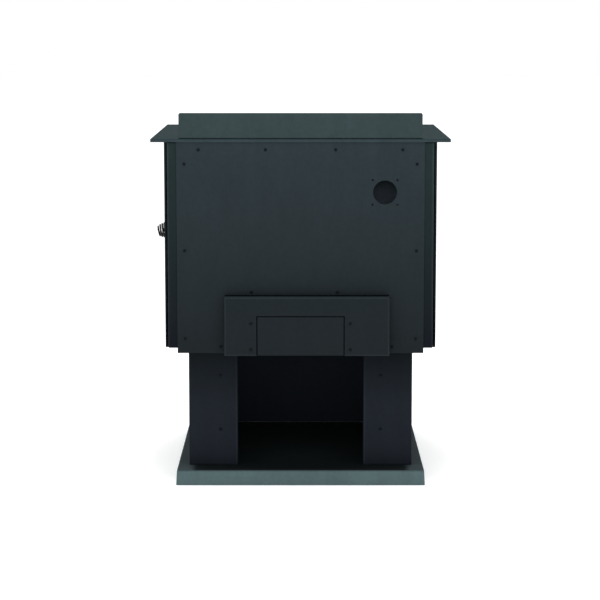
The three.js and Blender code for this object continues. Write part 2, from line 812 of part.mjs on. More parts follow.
function airTube(y) {
  const end = channelInner + channelSheet + tubeProud;
  return cut(drumAcross(tubeDiameter, y, tubeZ, [-end, end], 16),
    drumAcross(tubeDiameter - 2 * tubeWall, y, tubeZ, past([-end, end]), 16));
}

function baffleBoard(side) {
  const seat = channelBottom + channelHeight + touch;
  return onSide(side, block([touch, wallInner - slideClearance],
    [plateInside + baffleFrontGap, rearInner - slideClearance], [seat, seat + baffleThickness]));
}

// An angle inside the front plate that sends air down the glass.
function airWashChannel() {
  const foot = doorZ + openingHalf + washLift;
  const side = openingSide + washOverhang;
  return prismAcross(foldedSection([
    [fireboxFront + washDepth, foot], [fireboxFront + washDepth, foot + washHeight],
    [fireboxFront, foot + washHeight],
  ], washSheet), [-side, side]);
}

function logRetainer() {
  const face = bedFront - slideClearance;
  return block([-wallInner + slideClearance, wallInner - slideClearance],
    [face - logBarThickness, face], [floorTop, floorTop + logBarHeight]);
}

place('air_channel_left', airChannel(left), plainSteel);
place('air_channel_right', airChannel(right), plainSteel);
tubePlaces.forEach((y, i) => place(`secondary_tube_${i + 1}`, airTube(y), bareSteel));
place('baffle_board_left', baffleBoard(left), fibreBoard);
place('baffle_board_right', baffleBoard(right), fibreBoard);
place('air_wash_channel', airWashChannel(), plainSteel);
place('log_retainer', logRetainer(), plainSteel);

// Ash lip in front of the door
function ashLip() {
  const top = doorBottom - lipDrop;
  const back = bodyFront - touch;
  const side = doorSide - lipSideMargin;
  return prismAcross(foldedSection([
    [back, top], [back - lipReach, top], [back - lipReach, top - lipNose],
  ], lipThickness, lipThickness), [-side, side]);
}

place('ash_lip', ashLip(), stovePaint);

// Door
function doorFrame() {
  const through = past([doorFront, doorBack]);
  const slab = prismBack(rectangle(doorSide, doorHeight / 2, doorCorner, 0, doorZ),
    [doorFront, doorBack]);
  const seat = tapeThickness + glassThickness + 3 * touch;
  const rebate = prismBack(rectangle(glassSide + slideClearance, glassHalf + slideClearance,
    windowCorner, 0, doorZ), [doorBack - seat, through[1]]);
  const grooveSpan = [doorBack - ropeGroove, through[1]];
  const groove = cut(
    prismBack(rectangle(ropeSide + ropeWidth / 2, ropeHalf + ropeWidth / 2, doorCorner, 0, doorZ),
      grooveSpan),
    prismBack(rectangle(ropeSide - ropeWidth / 2, ropeHalf - ropeWidth / 2,
      doorCorner - ropeWidth / 2, 0, doorZ), past(grooveSpan)));
  return cut(slab,
    prismBack(rectangle(windowSide, windowHalf, windowCorner, 0, doorZ), through),
    windowBevelTool(), rebate, groove,
    drumBack(rodDiameter + 2 * touch, spindleX, doorZ, through, 20));
}

// The bevel around the window: a frustum that is widest at the door's face.
function windowBevelTool() {
  const wide = rectangle(windowSide + windowBevel, windowHalf + windowBevel, windowCorner, 0, doorZ);
  const tool = prismBack(wide, [doorFront - windowBevel, doorFront + windowBevel]);
  const position = tool.attributes.position;
  for (let i = 0; i < position.count; i += 1) {
    if (position.getY(i) > doorFront) {
      position.setX(i, (position.getX(i) * windowSide) / (windowSide + windowBevel));
      position.setZ(i, doorZ + ((position.getZ(i) - doorZ) * windowHalf) / (windowHalf + windowBevel));
    }
  }
  return tool;
}

function doorGasket() {
  const half = ropeWidth / 2 - touch;
  const span = [doorBack - ropeGroove + touch, bodyFront - touch];
  return cut(
    prismBack(rectangle(ropeSide + half, ropeHalf + half, doorCorner, 0, doorZ), span),
    prismBack(rectangle(ropeSide - half, ropeHalf - half, doorCorner - ropeWidth / 2, 0, doorZ),
      past(span)));
}

const tapeSpan = [doorBack - glassThickness - tapeThickness - 2 * touch,
  doorBack - glassThickness - 2 * touch];

function glassTape() {
  return cut(prismBack(rectangle(glassSide, glassHalf, windowCorner, 0, doorZ), tapeSpan),
    prismBack(rectangle(glassSide - tapeWidth, glassHalf - tapeWidth, windowCorner / 2, 0, doorZ),
      past(tapeSpan)));
}

function glassRetainer(direction) {
  const middle = doorZ + direction * (glassHalf + touch);
  return block([retainerShort - windowSide, windowSide - retainerShort],
    [doorBack + touch, doorBack + touch + retainerThickness],
    [middle - retainerWidth / 2, middle + retainerWidth / 2]);
}

place('door_frame', doorFrame(), stovePaint);
place('door_gasket', doorGasket(), ropeSeal);
place('door_glass', prismBack(rectangle(glassSide, glassHalf, windowCorner, 0, doorZ),
  [doorBack - glassThickness - touch, doorBack - touch]), ceramicGlass);
place('glass_gasket', glassTape(), ropeSeal);
place('glass_retainer_upper', glassRetainer(1), bareSteel);
place('glass_retainer_lower', glassRetainer(-1), bareSteel);

// Hinges: a knuckle on the front plate, the door's knuckle above it, and a headed pin in both.
const pinHole = hingePinDiameter + 2 * touch;

function hingeBracket(z) {
  const span = [z - knuckleHeight, z - touch];
  const face = bodyFront - touch;
  const knuckle = join(drumUp(knuckleDiameter, hingeX, hingeY, span),
    block([hingeX - knuckleDiameter / 2, hingeX + knuckleDiameter / 2], [hingeY, face], span),
    block([hingeX - bracketFlange / 2, hingeX + knuckleDiameter / 2],
      [face - bracketFlangeThickness, face], [span[0] - knuckleHeight / 2, span[1]]));
  return cut(knuckle, drumUp(pinHole, hingeX, hingeY, past(span), 16));
}

function hingeLug(z) {
  const span = [z + touch, z + knuckleHeight];
  const knuckle = join(drumUp(knuckleDiameter, hingeX, hingeY, span),
    block([hingeX, -doorSide - touch], [hingeY - knuckleDiameter / 2, hingeY + knuckleDiameter / 2],
      span));
  return cut(knuckle, drumUp(pinHole, hingeX, hingeY, past(span), 16));
}

function hingePin(z) {
  const head = z + knuckleHeight + touch;
  const headTop = head + hingePinHeadHeight;
  return join(drumUp(hingePinDiameter, hingeX, hingeY, [z - knuckleHeight, headTop], 16),
    drumUp(hingePinHead, hingeX, hingeY, [head, headTop], 20));
}

[['upper', 1], ['lower', -1]].forEach(([name, direction]) => {
  const z = doorZ + (direction * hingeSpread) / 2;
  place(`hinge_bracket_${name}`, hingeBracket(z), stovePaint);
  place(`hinge_lug_${name}`, hingeLug(z), stovePaint);
  place(`hinge_pin_${name}`, hingePin(z), bareSteel);
});

// Latch: one bent rod is both spindle and handle, with the cam inside and the coil outside.
const drop = THREE.MathUtils.degToRad(handleDrop);
const handleDirection = new THREE.Vector3(Math.cos(drop), 0, -Math.sin(drop));
const elbow = new THREE.Vector3(spindleX, handleY, doorZ);
const alongHandle = (distance) => elbow.clone().addScaledVector(handleDirection, distance);

function handleRod() {
  const path = new THREE.CurvePath();
  const inside = new THREE.Vector3(spindleX, bodyFront + spindleTail, doorZ);
  const beforeBend = elbow.clone().add(new THREE.Vector3(0, handleBend, 0));
  path.add(new THREE.LineCurve3(inside, beforeBend));
  path.add(new THREE.QuadraticBezierCurve3(beforeBend, elbow, alongHandle(handleBend)));
  path.add(new THREE.LineCurve3(alongHandle(handleBend), alongHandle(handleReach)));
  return rodAlong(path, rodDiameter, 36, 12);
}

// The coil's radius: it closes on the rod at both ends and is widest near the tip.
function handleCoil() {
  const grip = (rodDiameter + coilWire) / 2 + coilClearance;
  const swell = (share) => Math.max(0, Math.sin(Math.PI * share ** coilSkew)) ** coilTaper;
  const path = new CoilCurve(alongHandle(coilStart), alongHandle(coilEnd), coilTurns,
    (share) => grip + (coilRadius - grip) * swell(share));
  return rodAlong(path, coilWire, coilTurns * coilFacets, 6);
}

function latchCam() {
  const near = plateInside + camSetback;
  const span = [near, near + camThickness];
  const arm = prismBack(outline([
    [-camWidth / 2, 0], [camWidth / 2, 0],
    [camWidth / 2, camReach, camCorner], [-camWidth / 2, camReach, camCorner],
  ]), span).translate(spindleX, 0, doorZ);
  return cut(join(drumBack(camHub, spindleX, doorZ, span, 20), arm),
    drumBack(rodDiameter + 2 * touch, spindleX, doorZ, past(span), 20));
}

place('handle_rod', handleRod(), stovePaint);
place('handle_coil', handleCoil(), bareSteel);
place('latch_cam', latchCam(), plainSteel);

// Air control: a damper in the duct on a rod that is pulled from under the ash lip.
const controlEnd = bodyFront - controlReach;

function airSlide() {
  const near = plateInside + damperFrontSetback;
  const side = ductWidth / 2 - ductSheet - slideClearance;
  const foot = controlZ - damperThickness / 2;
  return join(drumBack(controlRodDiameter, 0, controlZ, [controlEnd, near + damperLift], 12),
    block([-side, side], [near, near + damperLength], [foot, foot + damperThickness]));
}

function airKnob() {
  const grip = (controlRodDiameter + knobWire) / 2 + touch;
  const start = new THREE.Vector3(0, controlEnd + knobLength - knobWire, controlZ);
  const end = new THREE.Vector3(0, controlEnd - knobWire, controlZ);
  const path = new CoilCurve(start, end, knobTurns,
    (share) => grip + (knobRadius - grip) * Math.sin(Math.PI * share));
  path.sideways.set(1, 0, 0);
  path.upward.set(0, 0, 1);
  return rodAlong(path, knobWire, knobTurns * 10, 6);
}

place('air_slide', airSlide(), plainSteel);
place('air_knob', airKnob(), bareSteel);

export default stove;
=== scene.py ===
# A pedestal wood stove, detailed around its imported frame.
import json
import math
import random

import bmesh
import bpy
from mathutils import Matrix, Vector, noise


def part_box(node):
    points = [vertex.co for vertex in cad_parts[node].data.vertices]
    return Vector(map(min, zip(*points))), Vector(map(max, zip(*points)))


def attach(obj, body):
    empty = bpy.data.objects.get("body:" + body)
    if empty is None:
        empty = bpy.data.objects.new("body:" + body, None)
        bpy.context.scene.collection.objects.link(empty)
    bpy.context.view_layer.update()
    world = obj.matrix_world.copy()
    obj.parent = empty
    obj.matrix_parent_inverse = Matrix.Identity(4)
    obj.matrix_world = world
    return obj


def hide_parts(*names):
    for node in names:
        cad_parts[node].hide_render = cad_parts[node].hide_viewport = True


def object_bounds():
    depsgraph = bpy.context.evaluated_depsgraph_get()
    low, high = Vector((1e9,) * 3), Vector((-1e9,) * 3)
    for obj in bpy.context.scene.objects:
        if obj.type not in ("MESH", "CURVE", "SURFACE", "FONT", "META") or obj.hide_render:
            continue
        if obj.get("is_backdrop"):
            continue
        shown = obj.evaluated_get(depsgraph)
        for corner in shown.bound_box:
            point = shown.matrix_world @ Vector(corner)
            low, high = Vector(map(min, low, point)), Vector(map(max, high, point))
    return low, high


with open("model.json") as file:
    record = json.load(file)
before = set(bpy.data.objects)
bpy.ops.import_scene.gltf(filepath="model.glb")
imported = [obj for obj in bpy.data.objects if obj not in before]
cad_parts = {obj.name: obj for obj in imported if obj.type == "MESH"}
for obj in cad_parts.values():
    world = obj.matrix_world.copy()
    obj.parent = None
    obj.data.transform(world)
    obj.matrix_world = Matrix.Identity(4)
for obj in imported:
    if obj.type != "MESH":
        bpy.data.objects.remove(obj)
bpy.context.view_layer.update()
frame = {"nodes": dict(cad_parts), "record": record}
collection = bpy.context.scene.collection

# Finishes.
def nodeTree(name):
    material = bpy.data.materials.new(name)
    material.use_nodes = True
    tree = material.node_tree
    shader = tree.nodes["Principled BSDF"]
    return material, tree, shader


def add(tree, kind, links=None, **settings):
    node = tree.nodes.new(kind)
    for key, value in settings.items():
        if hasattr(node, key):
            setattr(node, key, value)
        else:
            node.inputs[key.replace("_", " ")].default_value = value
    for socket, source in (links or {}).items():
        tree.links.new(source, node.inputs[socket])
    return node


def noiseAt(tree, scale, detail=4.0, roughness=0.55, stretch=(1, 1, 1), distortion=0.0):
    place = add(tree, "ShaderNodeTexCoord").outputs["Object"]
    if stretch != (1, 1, 1):
        mapping = add(tree, "ShaderNodeMapping", {"Vector": place})
        mapping.inputs["Scale"].default_value = stretch
        place = mapping.outputs["Vector"]
    return add(tree, "ShaderNodeTexNoise", {"Vector": place}, Scale=scale, Detail=detail,
               Roughness=roughness, Distortion=distortion).outputs["Fac"]


def grey(level):
    return (level, level, level)


# Each stop is a position and a colour or a grey level.
def ramp(tree, source, stops):
    node = add(tree, "ShaderNodeValToRGB", {"Fac": source})
    elements = node.color_ramp.elements
    while len(elements) < len(stops):
        elements.new(0.5)
    for element, (position, colour) in zip(elements, stops):
        element.position = position
        element.color = (*(colour if isinstance(colour, tuple) else grey(colour)), 1)
    return node.outputs["Color"]


def mixed(tree, amount, first, second, blend="MIX"):
    node = add(tree, "ShaderNodeMix", data_type="RGBA", blend_type=blend)
    if isinstance(amount, float):
        node.inputs["Factor"].default_value = amount
    else:
        tree.links.new(amount, node.inputs["Factor"])
    for socket, value in (("A", first), ("B", second)):
        target = [s for s in node.inputs if s.name == socket and s.type == "RGBA"][0]
        if isinstance(value, tuple):
            target.default_value = (*value, 1)
        else:
            tree.links.new(value, target)
    return [s for s in node.outputs if s.type == "RGBA"][0]


# Links each varying value to its socket, and sets each constant on the socket itself.
def give(tree, shader, values):
    for name, value in values.items():
        if isinstance(value, bpy.types.NodeSocket):
            tree.links.new(value, shader.inputs[name])
        else:
            shader.inputs[name].default_value = value


def bumped(tree, shader, layers):
    normal = None
    for height, distance, strength in layers:
        links = {"Height": height}
        if normal:
            links["Normal"] = normal
        normal = add(tree, "ShaderNodeBump", links, Strength=strength,
                     Distance=distance).outputs["Normal"]
    tree.links.new(normal, shader.inputs["Normal"])


# Colours at the low and high ends of a span of heights in metres, with a fade between them. The fades are
# painted light and shade, not the paint's own colour.
paintLook = {
    # The body's paint, like the side panels' and the screws', fades from dark low down to lighter higher up:
    # painted shade below and painted light above.
    "stovePaint": dict(low=(0.0059, 0.0076, 0.0090), high=(0.0180, 0.0260, 0.0316), span=(0.34, 0.90)),
    "upstandPaint": dict(low=(0.0258, 0.0402, 0.0430), high=(0.0270, 0.0420, 0.0443), span=(0.88, 0.96)),
    # The cooking plate's edge is painted lighter than its top face: painted light and shade between the two
    # faces of one plate.
    "topPaint": dict(low=(0.0290, 0.0430, 0.0490), high=(0.0092, 0.0185, 0.0205), span=(0.8835, 0.8848),
                     roughness=0.85, gloss=0.05),
    "panelPaint": dict(low=(0.0020, 0.0021, 0.0052), high=(0.0128, 0.0220, 0.0226), span=(0.34, 0.90),
                       gloss=0.11),
    # The pedestal's paint darkens towards its top: a painted shadow under the body.
    "pedestalPaint": dict(low=(0.0076, 0.0090, 0.0138), high=(0.0009, 0.0016, 0.0026), span=(0.20, 0.37),
                          gloss=0.11),
    # The base's sides and lip are painted lighter than its top face: a painted reflection of the floor.
    "basePaint": dict(low=(0.072, 0.109, 0.114), high=(0.030, 0.042, 0.046), span=(0.034, 0.0395),
                      roughness=0.75, gloss=0.08, grit=1400),
    "boxPaint": dict(low=(0.0064, 0.0076, 0.0100), high=(0.0064, 0.0092, 0.0110), span=(0.34, 0.49),
                     roughness=0.66),
    "screwPaint": dict(low=(0.0028, 0.0034, 0.0038), high=(0.0046, 0.0060, 0.0068), span=(0.1, 0.9),
                       roughness=0.6, gloss=0.10, grit=2500),
    # The firebox shell behind the port is painted lighter low down and darker towards the top: painted light
    # through the port and painted shade from its upper edge.
    "shellSteel": dict(low=(0.058, 0.070, 0.094), high=(0.0010, 0.0022, 0.0036), span=(0.722, 0.772),
                       roughness=0.6, gloss=0.2, grit=420),  # darker towards the top
    # Near black, for strips that stand in for the shade inside gaps.
    "gapShadeBlack": dict(low=(0.0004, 0.0006, 0.0008), high=(0.0006, 0.0009, 0.0011), span=(0.1, 0.9),
                      roughness=0.9, gloss=0.02, grit=900),
}
# Painted highlight: paler copies of the paints for bends and edges, where light catches them.
bendHighlight = dict(lift=1.45, extra=0.0012)  # how much paler the paint is along bends and edges
# Painted shade on the base's top, within the pedestal and behind it.
pedestalShade = dict(side=(0.264, 0.282), back=(-0.27, -0.24), top=(0.037, 0.0395), shade=0.15)  # on the base


def spread(tree, value, span, kind="SMOOTHSTEP"):
    node = add(tree, "ShaderNodeMapRange", {"Value": value}, interpolation_type=kind)
    node.inputs["From Min"].default_value, node.inputs["From Max"].default_value = span
    return node.outputs["Result"]


def paint(name, low, high, span, roughness=0.68, gloss=0.15, grit=1500, soot=False):
    material, tree, shader = nodeTree(name)
    cloud = noiseAt(tree, 7.0, 5.0, 0.6)
    place = add(tree, "ShaderNodeTexCoord").outputs["Object"]
    axes = add(tree, "ShaderNodeSeparateXYZ", {"Vector": place}).outputs
    # Painted light and shade: the colour fades with height from low to high.
    base = mixed(tree, spread(tree, axes["Z"], span, "LINEAR"), low, high)
    for source, least, most in ((cloud, 0.93, 1.07), (noiseAt(tree, 90.0, 3.0), 0.95, 1.05),
                                (noiseAt(tree, 26.0, 6.0, 0.7, (1, 1, 0.18)), 0.97, 1.08)):
        base = mixed(tree, 1.0, base, ramp(tree, source, [(0.36, least), (0.66, most)]),
                     "MULTIPLY")
    # Painted shade: the base's top darkens within the pedestal's footprint and behind it, though not in
    # front.
    if soot:
        side = add(tree, "ShaderNodeMath", {0: axes["X"]}, operation="ABSOLUTE").outputs[0]
        within = add(tree, "ShaderNodeMath", {1: spread(tree, side, pedestalShade["side"])},
                     operation="SUBTRACT")
        within.inputs[0].default_value = 1.0
        patch = add(tree, "ShaderNodeMath", {0: within.outputs[0],
                                             1: spread(tree, axes["Y"], pedestalShade["back"])},
                    operation="MULTIPLY").outputs[0]
        top = add(tree, "ShaderNodeMath", {0: patch, 1: spread(tree, axes["Z"], pedestalShade["top"])},
                  operation="MULTIPLY").outputs[0]
        base = mixed(tree, top, base, mixed(tree, 1.0, base, grey(pedestalShade["shade"]), "MULTIPLY"))
    give(tree, shader, {
        "Base Color": base, "Specular IOR Level": gloss, "Specular Tint": (0.74, 0.97, 1.0, 1),
        "Roughness": ramp(tree, cloud, [(0.3, roughness - 0.06), (0.7, roughness + 0.06)])})
    bumped(tree, shader, [(noiseAt(tree, grit, 2.0), 0.00012, 0.35),
                          (noiseAt(tree, 160.0, 3.0), 0.0003, 0.12)])
    return material


def plainSteel():
    material, tree, shader = nodeTree("millScale")
    cloud = noiseAt(tree, 14.0, 8.0, 0.65, distortion=0.6)
    base = ramp(tree, cloud, [(0.3, (0.005, 0.008, 0.011)), (0.55, (0.009, 0.014, 0.019)),
                              (0.8, (0.021, 0.023, 0.023))])
    give(tree, shader, {
        "Base Color": base, "Metallic": 0.35, "Specular IOR Level": 0.2,
        "Roughness": ramp(tree, noiseAt(tree, 60.0, 5.0), [(0.3, 0.42), (0.7, 0.66)])})
    bumped(tree, shader, [(noiseAt(tree, 420.0, 4.0), 0.0002, 0.3),
                          (cloud, 0.0008, 0.12)])
    return material


def bareSteel(name, colour, roughness):
    material, tree, shader = nodeTree(name)
    drawn = noiseAt(tree, 240.0, 4.0, 0.6, (0.12, 1, 1))
    dull = tuple(c * 0.75 for c in colour)
    give(tree, shader, {
        "Base Color": ramp(tree, noiseAt(tree, 30.0, 4.0), [(0.3, dull), (0.7, colour)]), "Metallic": 1.0,
        "Roughness": ramp(tree, drawn, [(0.3, roughness - 0.1), (0.7, roughness + 0.1)])})
    bumped(tree, shader, [(drawn, 0.0001, 0.3)])
    return material


def fireclay():
    material, tree, shader = nodeTree("fireclay")
    body = ramp(tree, noiseAt(tree, 22.0, 6.0, 0.7), [(0.3, (0.50, 0.36, 0.20)),
                                                      (0.7, (0.72, 0.58, 0.38))])
    grog = ramp(tree, noiseAt(tree, 420.0, 3.0, 0.7), [(0.40, 0.55), (0.52, 1.0),
                                                       (0.72, 1.12)])
    body = mixed(tree, 1.0, body, grog, "MULTIPLY")
    smoke = ramp(tree, noiseAt(tree, 6.0, 4.0, 0.6), [(0.42, 0.0), (0.66, 0.75)])
    give(tree, shader, {"Base Color": mixed(tree, smoke, body, (0.085, 0.07, 0.055)), "Roughness": 0.93})
    pores = ramp(tree, noiseAt(tree, 520.0, 2.0), [(0.30, 0), (0.42, 1)])
    bumped(tree, shader, [(pores, 0.0008, 0.6), (noiseAt(tree, 90.0, 5.0), 0.0015, 0.35)])
    return material


def baffleFibre():
    material, tree, shader = nodeTree("baffleFibre")
    fibres = noiseAt(tree, 260.0, 5.0, 0.7, (0.25, 1, 1), 1.2)
    body = ramp(tree, fibres, [(0.3, (0.52, 0.49, 0.42)), (0.7, (0.80, 0.77, 0.70))])
    smoke = ramp(tree, noiseAt(tree, 5.0, 4.0), [(0.40, 0.05), (0.70, 0.7)])
    give(tree, shader, {"Base Color": mixed(tree, smoke, body, (0.10, 0.095, 0.09)), "Roughness": 0.95})
    bumped(tree, shader, [(fibres, 0.0010, 0.5)])
    return material


def ropeFibre():
    material, tree, shader = nodeTree("ropeFibre")
    strands = noiseAt(tree, 900.0, 4.0, 0.7, (1, 1, 0.4))
    give(tree, shader, {"Base Color": ramp(tree, strands, [(0.3, (0.010, 0.010, 0.011)),
                                                           (0.7, (0.055, 0.055, 0.058))]), "Roughness": 0.92})
    bumped(tree, shader, [(strands, 0.0006, 0.7)])
    return material


def ceramicGlass():
    material, tree, shader = nodeTree("ceramicGlass")
    haze = ramp(tree, noiseAt(tree, 9.0, 6.0, 0.65), [(0.45, 0.02), (0.75, 0.07)])
    smoke = ramp(tree, noiseAt(tree, 14.0, 5.0), [(0.35, (0.13, 0.125, 0.12)), (0.7, (0.20, 0.19, 0.18))])
    give(tree, shader, {"Base Color": smoke, "Roughness": haze, "Transmission Weight": 0.92, "IOR": 1.5})
    bumped(tree, shader, [(noiseAt(tree, 12.0, 2.0), 0.0003, 0.05)])
    return material


finishes = {name: paint(name, **look, soot=name == "basePaint") for name, look in paintLook.items()}
# Paler copies of these paints, a painted highlight for bends and edges.
for name in ("stovePaint", "panelPaint", "pedestalPaint", "boxPaint", "upstandPaint"):
    paler = {key: tuple(c * bendHighlight["lift"] + bendHighlight["extra"] for c in paintLook[name][key])
             for key in ("low", "high")}
    finishes[name + "Worn"] = paint(name + "Worn", **{**paintLook[name], **paler})
finishes.update(plainSteel=plainSteel(), bareSteel=bareSteel("bareSteel", (0.44, 0.44, 0.45), 0.36),
                blackWire=bareSteel("blackWire", (0.045, 0.046, 0.05), 0.42), fireclay=fireclay(),
                baffleFibre=baffleFibre(), ropeFibre=ropeFibre(), ceramicGlass=ceramicGlass())
slots = {"plainSteel": "plain_steel", "shellSteel": "plain_steel", "bareSteel": "bare_steel",
         "blackWire": "handle_wire", "fireclay": "fireclay", "baffleFibre": "baffle_fibre",
         "ropeFibre": "rope_seal", "ceramicGlass": "ceramic_glass"}
print("finishes ready:", len(finishes))

# Shaping helpers.
sides = ((-1, "Left"), (1, "Right"))
overrun = 0.01  # how far a cutting tool passes the faces it cuts
# Where a point (across, up) at a depth lies: in plan, on a wall across X, or on a side across Y.
planes = {
    "plan": lambda across, up, depth: (across, up, depth),
    "wall": lambda across, up, depth: (across, depth, up),
    "side": lambda across, up, depth: (depth, across, up),
}


def roundedOutline(corners, steps=6):
    points = []
    for i, (x, y, radius) in enumerate(corners):
        here = Vector((x, y))
        if radius <= 0:
            points.append(here)
            continue
        back = (Vector(corners[i - 1][:2]) - here).normalized()
        on = (Vector(corners[(i + 1) % len(corners)][:2]) - here).normalized()
        half = math.acos(max(-1.0, min(1.0, back.dot(on)))) / 2
        centre = here + (back + on).normalized() * radius / math.sin(half)
        start = here + back * radius / math.tan(half) - centre
        end = here + on * radius / math.tan(half) - centre
        turn = math.atan2(start.x * end.y - start.y * end.x, start.dot(end))
        for k in range(steps + 1):
            points.append(centre + Matrix.Rotation(turn * k / steps, 2) @ start)
    return points


def rectangle(halfAcross, halfUp, radius=0.0, centre=(0, 0), steps=6):
    return roundedOutline([(centre[0] + i * halfAcross, centre[1] + j * halfUp, max(radius, 1e-5))
                           for i, j in ((-1, -1), (1, -1), (1, 1), (-1, 1))], steps)


def circle(radius, centre=(0, 0), sides=32):
    return [Vector((centre[0] + radius * math.cos(2 * math.pi * i / sides),
                    centre[1] + radius * math.sin(2 * math.pi * i / sides))) for i in range(sides)]


# Outline of a folded sheet whose outer face follows the path, with the sheet on the path's left.
def foldedOutline(path, thickness, bend, steps=6):
    points = [Vector(p) for p in path]
    outer, inner = [], []
    for i, point in enumerate(points):
        back = (points[max(i, 1)] - points[max(i, 1) - 1]).normalized()
        on = (points[min(i + 1, len(points) - 1)] - points[min(i, len(points) - 2)]).normalized()
        turn = back.x * on.y - back.y * on.x
        normal = Vector((-back.y - on.y, back.x + on.x)).normalized()
        reach = thickness / (normal.y * back.x - normal.x * back.y)
        fold = abs(turn) > 1e-6
        outer.append((*point, (bend + (thickness if turn > 0 else 0)) if fold else 0))
        inner.append((*(point + normal * reach), (bend + (0 if turn > 0 else thickness)) if fold else 0))
    return roundedOutline(outer + inner[::-1], steps)


# Joins rows of vertices; looped joins the last row to the first, and otherwise both ends are closed.
def skin(mesh, rows, looped):
    for low, high in zip(rows, rows[1:] + rows[:1] if looped else rows[1:]):
        for j in range(len(low)):
            k = (j + 1) % len(low)
            mesh.faces.new((low[j], low[k], high[k], high[j]))
    if not looped:
        mesh.faces.new(rows[0])
        mesh.faces.new(rows[-1])
    bmesh.ops.recalc_face_normals(mesh, faces=mesh.faces)
    return mesh


# Skins rings, each (points, depth).
def loft(rings, plane, looped=False):
    mesh = bmesh.new()
    rows = [[mesh.verts.new(planes[plane](x, y, depth)) for x, y in points] for points, depth in rings]
    return skin(mesh, rows, looped)


def slab(points, plane, span):
    return loft([(points, span[0]), (points, span[1])], plane)


def boxMesh(low, high):
    return slab([(low[0], low[1]), (high[0], low[1]), (high[0], high[1]), (low[0], high[1])], "plan",
                (low[2], high[2]))


# The middle of a CAD node's box along the given axes.
def middleOf(node, *axes):
    low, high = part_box(node)
    return tuple((low[i] + high[i]) / 2 for i in axes)


# A plate that fills a CAD node's box, or only the given span of its depth.
def plateOf(node, plane, corner, steps=6, span=None):
    low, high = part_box(node)
    across, up, depth = {"plan": (0, 1, 2), "wall": (0, 2, 1), "side": (1, 2, 0)}[plane]
    return slab(rectangle((high[across] - low[across]) / 2, (high[up] - low[up]) / 2, corner,
                          middleOf(node, across, up), steps), plane, span or (low[depth], high[depth]))


# Rings of a pan of folded sheet, from its open edge round the bend to the face and back inside.
def panRings(ring, sheet, bend, face, foot, steps):
    rings = []
    for inset, top, radius in ((sheet, face - sheet, bend), (0.0, face, bend + sheet)):
        arc = []
        for k in range(steps + 1):
            a = math.radians(90 * k / steps)
            arc.append(ring(inset + radius * (1 - math.cos(a)), top - radius * (1 - math.sin(a))))
        rings += [*arc[::-1], ring(inset, foot)] if inset else [ring(inset, foot), *arc]
    return rings


# The span of a cutting tool that passes both faces.
def past(low, high):
    return low - overrun, high + overrun


def merged(*meshes):
    total = meshes[0]
    for other in meshes[1:]:
        data = bpy.data.meshes.new("part")
        other.to_mesh(data)
        other.free()
        total.from_mesh(data)
        bpy.data.meshes.remove(data)
    return total


def onSide(mesh, side):
    if side < 0:
        bmesh.ops.scale(mesh, vec=(-1, 1, 1), verts=mesh.verts)
        bmesh.ops.reverse_faces(mesh, faces=mesh.faces)
    return mesh


def bare(mesh, name="tool"):
    data = bpy.data.meshes.new(name)
    mesh.to_mesh(data)
    mesh.free()
    thing = bpy.data.objects.new(name, data)
    collection.objects.link(thing)
    return thing


def combined(mesh, tool, operation):
    target, other = bare(mesh), bare(tool)
    step = target.modifiers.new("step", "BOOLEAN")
    step.operation, step.object, step.solver = operation, other, "EXACT"
    result = bmesh.new()
    result.from_object(target, bpy.context.evaluated_depsgraph_get())
    for thing in (target, other):
        data = thing.data
        bpy.data.objects.remove(thing)
        bpy.data.meshes.remove(data)
    return result


def carved(mesh, *tools):
    return combined(mesh, merged(*tools), "DIFFERENCE")


def fused(mesh, *others):
    for other in others:
        mesh = combined(mesh, other, "UNION")
    return mesh


def holes(places, radius, plane, span, sides=28):
    return merged(*[slab(circle(radius, place, sides), plane, span) for place in places])


# A tube along points: radiusAt may vary it with the share of the length and the angle around.
def tube(points, radius, sides=12, looped=False, radiusAt=None, flat=(1.0, 1.0), up=None):
    mesh = bmesh.new()
    points = [Vector(p) for p in points]
    count = len(points)
    rows = []
    sideways = None
    for i, point in enumerate(points):
        ahead = points[(i + 1) % count] if looped or i < count - 1 else point
        behind = points[i - 1] if looped or i else point
        along = (ahead - behind).normalized()
        if up:
            sideways = Vector(up).cross(along).normalized()
        elif sideways is None:
            guide = Vector((0, 0, 1)) if abs(along.z) < 0.9 else Vector((0, 1, 0))
            sideways = along.cross(guide).normalized()
        else:
            sideways = (sideways - along * sideways.dot(along)).normalized()
        over = along.cross(sideways)
        row = []
        for j in range(sides):
            angle = 2 * math.pi * j / sides
            size = radius * (radiusAt(i / count, angle, i) if radiusAt else 1)
            row.append(mesh.verts.new(point + sideways * size * flat[0] * math.cos(angle)
                                      + over * size * flat[1] * math.sin(angle)))
        rows.append(row)
    return skin(mesh, rows, looped)


# A weld bead: a lumpy run along points.
def weld(points, size=0.003, pitch=0.0028):
    line = []
    for a, b in zip(points, points[1:]):
        a, b = Vector(a), Vector(b)
        steps = max(2, int((b - a).length / (pitch / 4)))
        line += [a.lerp(b, k / steps) for k in range(steps)]
    line.append(Vector(points[-1]))
    return tube(line, size, 8, radiusAt=lambda share, angle, i: 0.86 + 0.16 * math.sin(i * math.pi / 2.3)
                + 0.08 * noise.noise(line[i] * 260))


def lathe(profile, plane, centre, sides=48, looped=False):
    return loft([(circle(radius, centre, sides), depth) for radius, depth in profile], plane, looped)


# The CAD node with a piece's name: airBoxCover is air_box_cover.
def nodeOf(name):
    return "".join("_" + c.lower() if c.isupper() or c.isdigit() else c for c in name)


